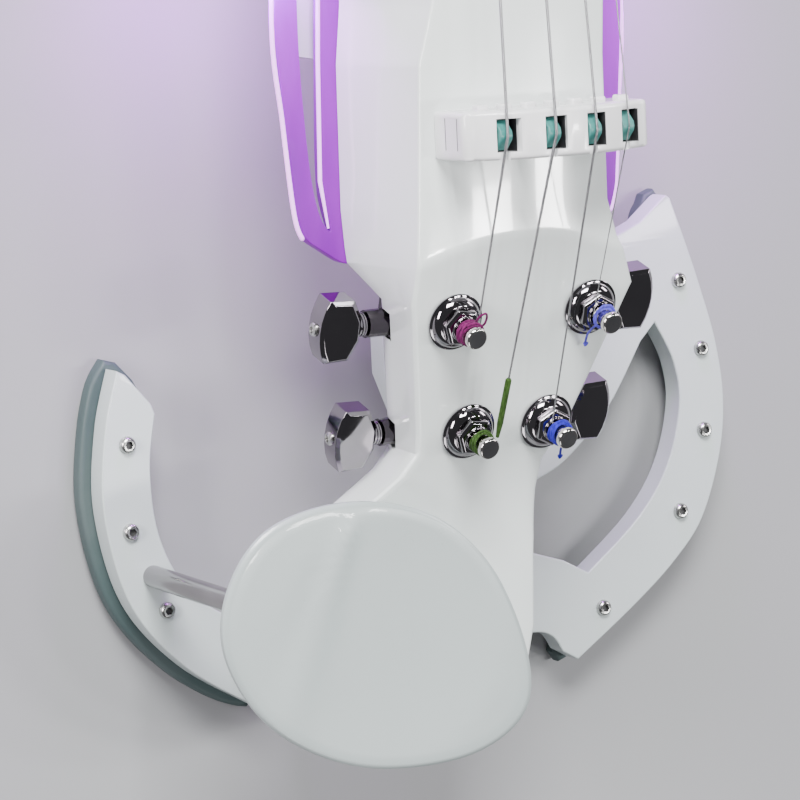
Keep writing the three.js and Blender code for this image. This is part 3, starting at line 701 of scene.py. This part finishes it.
POCKET_FLOOR, OPEN_TOP = 97.5, 118
block = made(
    "bridge_block",
    *skin([[(x, y, z) for x, z in bridge_outline()] for y in (BRIDGE_THICK, -BRIDGE_THICK)]),
    BRIDGE_WHITE,
)
cutters = []
for key, tuner in TUNERS.items():
    x, top = crest(key)
    _, end_y, end_z = string_end(key)
    # A pocket for the saddle, and a notch that the string leaves through.
    notch = top + (end_z - top) * (-BRIDGE_THICK) / end_y - tuner["radius"] - GAP
    cutters.append(cutter_box((x - 1.9, -4.2, POCKET_FLOOR), (x + 4.1, 4.2, OPEN_TOP)))
    cutters.append(cutter_box((x - 1.2, -8.5, notch), (x + 1.2, -3, OPEN_TOP)))
for z in GROOVES:
    cutters.append(cutter_box((-28, -3.6, z), (-27.2, 4.6, z + 0.5)))
soften(block, 1.3, 5, 50)
carved(block, cutters)
soften(block, 0.2, 2, 60)
stand_in(block, "bridge_white", "bridge")
# Painted shade: a thin black strip lies in each groove.
for i, z in enumerate(GROOVES):
    groove = made(f"bridge_groove_shade_{i + 1}", *box((-27.4, -3.5, z + 0.03), (-27.15, 4.5, z + 0.47)), BLACK)
for i in range(-3, 4):
    corners = (i * 7 - 1.6, 5.4, 99), (i * 7 + 1.6, 7.7, 102.4)
    lug = made(f"bridge_lug_{i + 4}", *box(*corners), BRIDGE_WHITE)
    soften(lug, 0.6)

for key, tuner in TUNERS.items():
    x, top = crest(key)
    top -= tuner["radius"] + GAP
    # Painted shade: a thin black sheet against the pocket's wall and a black block beside the saddle stand
    # for the shade inside the pocket.
    shade_sheet = box((x + 3.85, -4.15, POCKET_FLOOR + 0.05), (x + 4.05, 4.15, top - 1.6))
    shade_block = box((x + 2.1, -4.15, POCKET_FLOOR + 0.02), (x + 3.8, 4.15, top - 5))
    verts = shade_sheet[0] + shade_block[0]
    faces = shade_sheet[1] + [tuple(i + len(shade_sheet[0]) for i in face) for face in shade_block[1]]
    made(f"pocket_shade_{key}", verts, faces, BLACK)
    foot = POCKET_FLOOR + GAP
    profile = [(-3.8, foot), (3.8, foot), (3.8, top - 3), (1.2, top - 0.3)]
    profile += [(0, top), (-1.2, top - 0.3), (-3.8, top - 3)]
    saddle_rings = [[(u, y, z) for y, z in profile] for u in (x + 2, x - 1.6)]
    saddle = made(f"saddle_block_{key}", *skin(saddle_rings), TEAL)
    soften(saddle, 0.35)
    stand_in(saddle, "saddle_teal", f"saddle_{key}")

# ---------------------------------------------------------------- neck, fingerboard, strings


def board_floor(y):
    """Height of the joint between neck and fingerboard."""
    return 96.5 - (y - 58) * 0.077


def board_ring(y, half, depth):
    """Section of the fingerboard, `depth` below the strings."""
    top = CREST - STRING_FALL * y / SCALE_LENGTH - depth
    arc = [(half * (1 - i / 10), y) for i in range(21)]
    ring = [(x, y, top - arch_drop(x)) for x, _ in arc]
    return ring + [(-half, y, board_floor(y)), (half, y, board_floor(y))]


board_rings = [board_ring(SCALE_LENGTH - 270 * t, 12 + 9 * t, 1.4 + 2.6 * t) for t in (0, 0.5, 1)]
board = made("fingerboard_wood", *skin(board_rings), EBONY)
soften(board, 0.5)
stand_in(board, "board_black", "fingerboard")


def neck_ring(y, half, depth):
    """Section of the neck: flat on top, rounded below."""
    top = board_floor(min(y, SCALE_LENGTH)) - GAP
    arc = [(math.pi * i / 20) for i in range(21)]
    ring = [(half * math.cos(a), y, top - 3 - (depth - 3) * math.sin(a) ** 0.8) for a in arc]
    return [(half, y, top)] + ring + [(-half, y, top)]


# y, half width, depth
neck_line = [
    (346.5, 10.5, 12), (328, 12, 14.5), (290, 13, 15), (250, 14, 15.5), (210, 15, 16.5),
    (180, 16, 18), (172, 16.4, 20.5), (165, 16.8, 24), (158, 17.1, 29.5), (152.4, 17.4, 36),
]
neck = made("neck_wood", *skin([neck_ring(*s) for s in neck_line]), WHITE, sharp=50)
soften(neck, 0.8)
stand_in(neck, "neck_lacquer", "neck")
tongue = made("neck_tongue", *box((-14, 101, 90), (14, 152.3, 92.8)), WHITE)
soften(tongue, 0.5)

for key, tuner in TUNERS.items():
    x, top = crest(key)
    nut_x = tuner["slot"] * NUT_SPACING
    nut_z = CREST - STRING_FALL - arch_drop(nut_x)
    anchor = (nut_x, 341.2, board_floor(SCALE_LENGTH) + 4)
    near = 0.004  # share of the string's length between the bridge and the start of its bend
    end = string_end(key)
    path = [
        anchor,
        (nut_x, SCALE_LENGTH + 2.6, nut_z - 0.1),
        (nut_x, SCALE_LENGTH + 1.4, nut_z),
        (x + (nut_x - x) * near, SCALE_LENGTH * near, top + (nut_z - top) * near),
        (x, 0, top - 0.03),
        tuple(Vector((x, 0, top)).lerp(Vector(end), 0.015)),
        end,
    ]
    string = tube(f"string_wire_{key}", path, tuner["radius"], WIRE, sides=12)
    stand_in(string, "string_wire", f"string_{key}")
    barrel = [(0.3, -1.3), (1.1, -1.3), (1.4, -0.9), (1.4, 0.9), (1.1, 1.3), (0.3, 1.3)]
    across = Matrix.Translation(anchor) @ Matrix.Rotation(math.pi / 2, 4, "Y")
    ball = lathe(f"string_ball_{key}", barrel, BRIGHT_CHROME, matrix=across, sides=20)

# ---------------------------------------------------------------- tuners

# Profiles as radius and height along a piece's own axis; the button is an outline seen along the post.
WASHER = [
    (2.9, -11.7), (4.2, -11.7), (4.2, 0.3), (7.6, 0.3), (7.8, 0.5), (7.8, 0.85), (7.55, 1.05), (7.25, 1.08),
    (7.1, 1.15), (6.95, 1.5), (6.6, 2.1), (6.1, 2.6), (5.6, 2.95), (5.2, 3.1), (2.9, 3.1),
]
HEX_NUT = [(2.9, 3.0), (5.0, 3.0), (5.4, 3.3), (5.4, 4.75), (4.75, 5.3), (3.4, 5.4), (3.4, 5.9), (2.9, 5.9)]
POST = [
    (2.0, -8), (2.5, -7), (2.5, 6.1), (2.38, 6.5), (2.15, 6.8), (2.1, 8.3), (2.15, 9.4), (2.35, 9.8),
    (2.72, 10.2), (2.95, 10.5), (3.0, 11.3), (2.93, 11.8), (2.75, 12.1), (2.6, 12.2), (2.45, 12.2),
    (0.2, 12.2),
]
# Black disc in the post's hollow end: painted shade.
POST_END_SHADE = [(0.1, 12.1), (2.3, 12.1), (2.3, 12.24), (1.5, 12.21), (0.1, 12.2)]
SHAFT = [
    (2.2, -8.6), (2.2, 16.3), (3.0, 16.45), (3.2, 16.7), (3.2, 17.0), (2.9, 17.15), (3.2, 17.3), (3.2, 17.8),
    (2.9, 17.95), (3.1, 18.1), (3.1, 18.6), (2.4, 18.8), (2.4, 20),
]
KEY_SCREW = [(1.9, 29.8), (1.9, 31.0), (1.6, 31.4), (0.9, 31.6), (0.8, 31.0), (0.1, 31.0)]
BUTTON_HALF = [(18.8, 3.4), (21.4, 8.5), (28.6, 8.8), (29.8, 6), (30.5, 3)]
BUTTON = [(x, -y) for x, y in BUTTON_HALF] + [(30.7, 0)] + BUTTON_HALF[::-1]


def hex_ring(profile):
    """Hexagonal nut from (reach, height) pairs; pairs that reach 4 mm or less stay round."""
    rings = []
    for reach, z in [*profile, profile[0]]:
        ring = []
        for a in once_round(48):
            r = reach * hexagon_reach(a) if reach > 4 else reach
            ring.append((r * math.cos(a), r * math.sin(a), z))
        rings.append(ring)
    return skin(rings, close=False)


def inset(outline, amount):
    """Outline moved in towards its middle."""
    middle = sum(x for x, _ in outline) / len(outline)
    moved = []
    for x, y in outline:
        step_x = math.copysign(min(amount, abs(x - middle)), middle - x)
        step_y = math.copysign(min(amount, abs(y)), y)
        moved.append((x + step_x, y - step_y))
    return moved


def silk_wraps(key, rng):
    """Uneven, crossing turns of thread above the washer's nut; the post's bright waist stays in view."""
    turns, low, high = SILK_TURNS[key]
    points = []
    count = int(turns * 18)
    for i in range(count + 1):
        t = i / count
        a = math.tau * turns * t + (0.6 if key in "da" else 2.2)
        r = 2.65 + 0.62 * t + 0.22 * math.sin(5.3 * t * turns) + rng.uniform(-0.05, 0.05)
        swing = 0.5 - 0.5 * math.cos(math.pi * t * 5)
        tip = 0.5 * math.sin(a * 0.5 + t * 4)
        z = low + (high - low) * swing + tip + rng.uniform(-0.06, 0.06)
        points.append((r * math.cos(a), r * math.sin(a), z))
    return points


# Turns of silk, and the heights of the lowest and highest turn.
SILK_TURNS = {"g": (9, 6.6, 8.8), "d": (6, 6.8, 8.6), "a": (6, 6.8, 8.6), "e": (4, 6.9, 8.3)}
SILK_RADIUS = {"g": 0.34, "d": 0.26, "a": 0.36, "e": 0.34}
SILK_SLOT = {"g": "silk_magenta", "d": "silk_green", "a": "silk_blue", "e": "silk_lilac"}
TAILS = {
    "g": [
        (2.6, 1.2, 8.0), (3.5, 2.6, 8.9), (3.6, 4.8, 9.5), (2.6, 6.1, 10.1), (1.4, 5.0, 9.4), (1.1, 2.8, 8.2),
    ],
    "d": [(-2.6, 1.4, 7.2), (-2.6, -0.6, 9.0), (-1.0, -2.9, 9.2), (1.8, -3.0, 8.0), (2.9, -1.6, 7.0)],
    "a": [(0.8, -3.1, 8.0), (2.4, -4.6, 6.2), (3.8, -7.4, 3.8), (4.7, -9.4, 2.6), (5.0, -10.2, 2.3)],
    "e": [(-2.4, -2.0, 7.8), (-2.2, -3.8, 6.0), (-1.6, -6.4, 3.6), (-0.9, -9.2, 2.2), (-0.6, -10.0, 2.0)],
}

for key, tuner in TUNERS.items():
    side = tuner["side"]
    here = tuner_frame(key)
    washer = lathe(f"washer_{key}", WASHER, CHROME, matrix=here, sides=64, bored=True)
    stand_in(washer, "tuner_chrome", f"bushing_{key}")
    turned = here @ Matrix.Rotation(0.35 * side + 0.2, 4, "Z")
    nut = made(f"hex_nut_{key}", *hex_ring(HEX_NUT), CHROME, sharp=15, matrix=turned)
    soften(nut, 0.22, 2, 20)

    body = f"tuner_post_{key}"
    silk, slot, thread = SILK[key], SILK_SLOT[key], SILK_RADIUS[key]
    peg = lathe(f"post_{key}_chrome", POST, BRIGHT_CHROME, body, here, 48)
    stand_in(peg, "tuner_chrome", f"post_{key}")
    rng = random.Random(f"silk {key}")
    wraps = tube(f"silk_{key}_wraps", silk_wraps(key, rng), thread, silk, body, 8, here)
    stand_in(wraps, slot, f"winding_{key}")
    tail = tube(f"silk_{key}_tail", spline(TAILS[key], 6), thread * 0.9, silk, body, 8, here)
    if key in "ae":
        end = Vector(TAILS[key][-1])
        knot = []
        for a in range(11):
            knot.append(end + Vector((0.45 * math.cos(a), 0.45 * math.sin(a), 0.25 * math.sin(2 * a))))
        tube(f"silk_{key}_knot", knot, 0.33, silk, body, 8, here)
    # black disc of painted shade in the post's hollow end
    end_shade = lathe(f"post_{key}_end", POST_END_SHADE, BLACK, body, here, 40)

    body = f"tuner_key_{key}"
    turn = here
    if side < 0:
        turn = here @ Matrix.Translation((0, 2 * WORM_Y, 0)) @ Matrix.Rotation(math.pi, 4, "Z")
    rings = []
    for z, amount in ((-4.0, 0.9), (-3.1, 0.0), (3.1, 0.0), (4.0, 0.9)):
        rings.append([(x, y + WORM_Y, z + WORM_Z) for x, y in inset(BUTTON, amount)])
    button = made(f"button_{key}", *skin(rings), CHROME, body, 20, turn)
    soften(button, 0.18, 2, 25)
    stand_in(button, "tuner_chrome", f"key_{key}")
    axle = turn @ along_x(WORM_Y, WORM_Z)
    shaft = lathe(f"key_shaft_{key}", SHAFT, CHROME, body, axle, 40)
    screw = lathe(f"key_screw_{key}", KEY_SCREW, SCREW_STEEL, body, axle, 24)

# Thick green silk that covers the end of the d string.
start, end = Vector((crest("d")[0], 0, crest("d")[1])), Vector(string_end("d"))
cover = [tuple(start.lerp(end, t)) for t in (0.8, 0.806, 0.85, 0.9, 0.95, 1.0)]
sleeve = tube("silk_d_sleeve", cover, 0.85, SILK["d"], sides=12)

# ---------------------------------------------------------------- chin rest


def chin_outline():
    ring = [
        (-50, -93.4), (-73, -98), (-85.4, -113), (-86.2, -131), (-73, -151), (-48, -164),
        (-18, -166), (0.6, -157.5), (3, -141), (-7, -116), (-25, -99.5),
    ]
    return spline(ring, 10, closed=True)


CHIN_MIDDLE = (-42, -130)


def chin_height(x, y):
    """Almost flat face with a soft ridge fanning from its head towards the outer side."""
    dx, dy = x + 47, y + 94
    along = max(0.0, -dy)
    ridge = math.exp(-(((dx + 0.42 * along) / (1.6 + 0.10 * along)) ** 2)) * min(1, along / 8)
    dish = -0.9 * max(0, 1 - ((x + 38) ** 2 + (y + 132) ** 2) / 34**2)
    return CHIN_HIGH - 0.85 + 0.8 * ridge * math.exp(-along / 60) + dish


def chin_ring(scale, height, drop=0.0):
    """The outline scaled about its middle, at a height or (None) `drop` below the face."""
    cx, cy = CHIN_MIDDLE
    ring = []
    for x, y in chin_outline():
        px, py = cx + (x - cx) * scale, cy + (y - cy) * scale
        ring.append((px, py, (chin_height(px, py) - drop) if height is None else height))
    return ring


# Scale and height of the rings from the rounded rim round to the underside.
CHIN_RIM = [
    (0.997, 73.4), (1.0, 72.7), (0.997, 72.0), (0.98, 71.4), (0.93, 70.2), (0.86, 67.8), (0.82, CHIN_LOW),
    (0.02, CHIN_LOW),
]
rings = [chin_ring(0.02 + 0.94 * i / 14, None) for i in range(15)]
rings += [chin_ring(0.975, None, 0.12), chin_ring(0.988, None, 0.45)]
rings += [chin_ring(scale, height) for scale, height in CHIN_RIM]
chin = made("chin_rest_plate", *skin(rings), SATIN, sharp=60)
(rod_x, rod_y), rod_top, _ = ROD_FEET["left_outer"]
carved(chin, [cutter_rod(SOCKET, 50, rod_top + GAP, standing(rod_x, rod_y))])
stand_in(chin, "chin_satin", "chin_rest")

# ---------------------------------------------------------------- shoulder arcs

SCREW_HOLE = 1.55
PLATE_EDGE = 0.5
LEFT_SCREWS = [(-85.3, -80.5), (-85.7, -104), (-76.3, -126.6), (-56, -145)]
RIGHT_SCREWS = [(92.6, -52.4), (99.6, -73), (99.7, -97), (90.5, -120), (62.6, -145)]
LEFT_EDGE = [(-87, -60.5), (-91.5, -77), (-93, -99), (-86.5, -124.5), (-71, -143.5), (-51, -157)]
RIGHT_EDGE = [
    (53.5, -159), (73.5, -145.8), (88, -134.6), (98.4, -122.8), (105.3, -104.5),
    (107.2, -88), (105, -71), (100, -54), (95, -39.5), (90.8, -28.4),
]
LEFT_INNER = [(-76.5, -73), (-78.8, -88), (-77.2, -106), (-70, -121), (-57, -131), (-40, -134)]
WINDOW = [
    [(84, -64), (90, -76), (91.5, -89), (86.5, -106), (76, -120), (58, -134)],
    [(50, -129.5), (40, -126), (27, -121)],
    [(28, -112), (40, -106), (52, -100.5), (67, -87), (79, -69)],
]


def holes(places, radius):
    return [circle(x, y, radius) for x, y in places]


left_outline = (
    spline(LEFT_EDGE[::-1], 8)
    + [(-84.6, -61.8), (-77.6, -70.2)]
    + spline(LEFT_INNER, 6)
    + [(-34, -140), (-36, -154)]
)
right_outline = (
    spline(RIGHT_EDGE, 8)
    + [(89.6, -27.5), (88.4, -28)]
    + spline([(80.2, -34.5), (71.6, -37.7), (55, -42), (30, -46), (8, -50)], 6)
    + [(-6, -54), (-6, -70), (4, -96), (-8, -122), (-8, -146)]
    + spline([(18, -149), (38, -149), (45, -151), (48.5, -156)], 6)
)
window = [p for part in WINDOW for p in spline(part, 6)]
for name, outlines, screws in (
    ("left", [left_outline], LEFT_SCREWS),
    ("right", [right_outline, window], RIGHT_SCREWS),
):
    cuts = outlines + holes(screws, SCREW_HOLE)
    plate = flat_piece(
        f"{name}_arc_board", cuts, PLATE_LOW, PLATE_HIGH, PLATE_EDGE, ARC_WHITE, f"{name}_arc"
    )
    stand_in(plate, "arc_satin", f"{name}_arc_plate")


def pad_outline(edge, width):
    """Pad under a plate's outer edge: it stands out past it and is rounded at its ends."""
    line = [Vector(p) for p in spline(edge, 8)]
    line.insert(0, line[0] + (line[0] - line[1]).normalized() * 2.2)
    line.append(line[-1] + (line[-1] - line[-2]).normalized() * 2.2)
    inner, outer = [], []
    last = len(line) - 1
    for i, p in enumerate(line):
        way = (line[min(last, i + 1)] - line[max(0, i - 1)]).normalized()
        left = Vector((-way.y, way.x))
        share = min(1, (0.06 + 9 * min(i, last - i) / last) ** 0.5)
        inner.append(tuple(p + left * width * share))
        outer.append(tuple(p - left * PAD_OVERHANG * share))
    return inner + outer[::-1]


for name, edge, width in (("left", LEFT_EDGE, 13), ("right", RIGHT_EDGE, 12)):
    line = pad_outline(edge, width)
    pad = flat_piece(f"{name}_arc_cushion", [line], PAD_LOW, PAD_HIGH, 1.4, RUBBER, f"{name}_arc")
    stand_in(pad, "pad_rubber", f"{name}_arc_pad")

# Button head from its hexagonal socket outwards, and a black disc of painted shade on the socket's floor:
# reach and height.
HEAD = [
    (0.05, 0.5), (1.15, 0.5), (1.15, 1.55), (1.5, 1.6), (1.9, 1.4), (2.2, 0.95), (2.35, 0.3), (2.35, 0.0),
]
SOCKET_SHADE_DISC = [(0.1, 0.5), (1.1, 0.5), (1.12, 0.62), (0.1, 0.62)]


def screw_head():
    rings = []
    for reach, z in HEAD:
        ring = []
        for a in once_round(36):
            r = reach * hexagon_reach(a) if reach < 1.4 else reach
            ring.append((r * math.cos(a), r * math.sin(a), z))
        rings.append(ring)
    return skin(rings)


for name, screws in (("left", LEFT_SCREWS), ("right", RIGHT_SCREWS)):
    for i, (x, y) in enumerate(screws):
        body = f"{name}_arc"
        seat = standing(x, y, PLATE_HIGH)
        head = made(f"{name}_arc_screw_{i + 1}", *screw_head(), SCREW_STEEL, body, 30, seat)
        # The black disc in the socket is painted shade.
        socket = lathe(f"{name}_arc_socket_shade_{i + 1}", SOCKET_SHADE_DISC, BLACK, body, seat, 6)
        if i == 0:
            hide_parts(f"{name}_arc_screws")

for name, ((x, y), top, body) in ROD_FEET.items():
    profile = [(2.6, PLATE_LOW + 0.2), (3, PLATE_LOW + 0.7), (3, top - 0.6), (2.5, top)]
    bar = lathe(f"rod_{name}_bar", profile, STEEL, body, standing(x, y), 48)
    stand_in(bar, "rod_steel", f"rod_{name}")

# ---------------------------------------------------------------- controls and carried-over nodes

knob_low, knob_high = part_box("volume_knob")
knob_y = (knob_low.y + knob_high.y) / 2
knob_z = (knob_low.z + knob_high.z) / 2
# The knob's outer face, in the millimetres that shapes are drawn in.
knob_place = PLACE.inverted() @ Matrix.Translation((knob_high.x, knob_y, knob_z))
rings = []
for radius, z in [(7.7, -9.4), (8, -9), (8, -1.4), (7.4, -0.4), (6.6, 0), (0.2, 0)]:
    knurl = 0.16 if radius > 7.9 else 0
    ring = []
    for k, a in enumerate(once_round(96)):
        r = radius - knurl * (k % 2)
        ring.append((r * math.cos(a), r * math.sin(a), z))
    rings.append(ring)
turn = Matrix.Translation(knob_place.translation) @ Matrix.Rotation(math.pi / 2, 4, "Y")
knob = made("volume_knob_cap", *skin(rings), CHROME, "volume", 30, turn)
stand_in(knob, "tuner_chrome", "volume_knob")
mark = made("volume_knob_mark", *box((-0.5, 1.5, -0.2), (0.5, 6.2, 0.0)), BLACK, "volume", matrix=turn)

# CAD nodes shown as they are: their finish, and how far their edges are rounded.
KEPT = {
    "back_cover": (COVER_WHITE, 0.5),
    "cover_screw_tail": (SCREW_STEEL, 0.3),
    "cover_screw_neck": (SCREW_STEEL, 0.3),
    "nut": (BLACK, 0.3),
    "string_anchor": (SCREW_STEEL, 0.25),
    "left_led_strip": (LIGHT, 0.3),
    "right_led_strip": (LIGHT, 0.3),
    "battery": (CELL, 0.8),
    "preamp_board": (CIRCUIT, 0.1),
    "output_jack": (CHROME, 0.2),
    "power_switch": (BLACK, 0.3),
    # the gear boxes take the darkened chrome, which is painted shade
    **{f"gear_box_{key}": (SHADED_GEAR_CHROME, 0.4) for key in TUNERS},
}
for node, (material, round_over) in KEPT.items():
    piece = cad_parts[node]
    piece.data.materials.clear()
    piece.data.materials.append(material)
    soften(piece, round_over)

# ---------------------------------------------------------------- floor, lights and camera

floor_material = Finish("studio_floor", (0.34, 0.345, 0.355), 0.6)
floor_material.drive("Roughness", floor_material.span(floor_material.noise(6, 3), 0.5, 0.7))
bpy.ops.mesh.primitive_plane_add(size=8, location=(0, 0, 0))
floor = bpy.context.object
floor.name = "studio_floor"
floor.data.materials.append(floor_material.material)

AIM = Vector((BRIDGE_X, BRIDGE_Y, 0.1))


def look(thing, location, aim, up=(0, 1, 0)):
    """Stands a lamp or camera at a place, facing a point."""
    back = (Vector(location) - Vector(aim)).normalized()
    right = Vector(up).cross(back).normalized()
    turn = Matrix((right, back.cross(right), back)).transposed().to_4x4()
    thing.matrix_world = Matrix.Translation(location) @ turn


def softbox(name, location, size, power, color=(1, 1, 1)):
    """Rectangular lamp that faces the bridge."""
    light = bpy.data.lights.new(name, "AREA")
    light.shape = "RECTANGLE"
    light.size, light.size_y = size
    light.energy = power
    light.color = color
    lamp = bpy.data.objects.new(name, light)
    bpy.context.scene.collection.objects.link(lamp)
    look(lamp, location, AIM)
    return lamp


# The three small window lights make the bright reflections on the body and the tuners.
softbox("key_light", (-0.45, 1.15, 1.2), (0.8, 0.6), 72)
softbox("window_middle", (0.52, -0.235, 1.2), (0.17, 0.08), 4)
softbox("window_right", (0.76, -0.2, 1.08), (0.13, 0.07), 2.6)
softbox("window_left", (0.3, -0.28, 1.28), (0.1, 0.06), 2)
softbox("side_light", (-1.35, 0.2, 0.6), (0.3, 0.7), 22, (1, 0.95, 0.98))
softbox("tail_light", (0.0, -1.3, 0.9), (0.6, 0.3), 3.5)
softbox("right_light", (1.2, 0.35, 0.6), (0.3, 0.5), 8, (1, 0.93, 0.97))

# Violet light that the wings throw on the shoulder arcs.
for name, place, aim in (
    ("left_glow", (-0.062, -0.04, 0.045), (-0.075, -0.1, 0.01)),
    ("right_glow", (0.062, -0.04, 0.045), (0.085, -0.125, 0.012)),
):
    glow = softbox(name, place, (0.02, 0.02), 0.16, (0.65, 0.12, 1))
    look(glow, glow.location, aim)
    glow.visible_camera = False

world = bpy.data.worlds.new("studio")
world.use_nodes = True
background = world.node_tree.nodes["Background"]
background.inputs["Color"].default_value = (0.78, 0.8, 0.84, 1)
background.inputs["Strength"].default_value = 0.13
bpy.context.scene.world = world

# The photograph's viewpoint, measured from the point that the shapes are drawn about.
camera_data = bpy.data.cameras.new("camera")
camera_data.lens = 156.7
camera_data.sensor_width = 36
camera = bpy.data.objects.new("camera", camera_data)
bpy.context.scene.collection.objects.link(camera)
stand = Vector((BRIDGE_X, BRIDGE_Y, DATUM_Z)) + Vector((-468.45, 54.39, 854.68)) * MM
look(camera, stand, stand + Vector((0.4826, -0.1362, -0.8652)), (0.1065, 0.9896, -0.0964))
bpy.context.scene.camera = camera
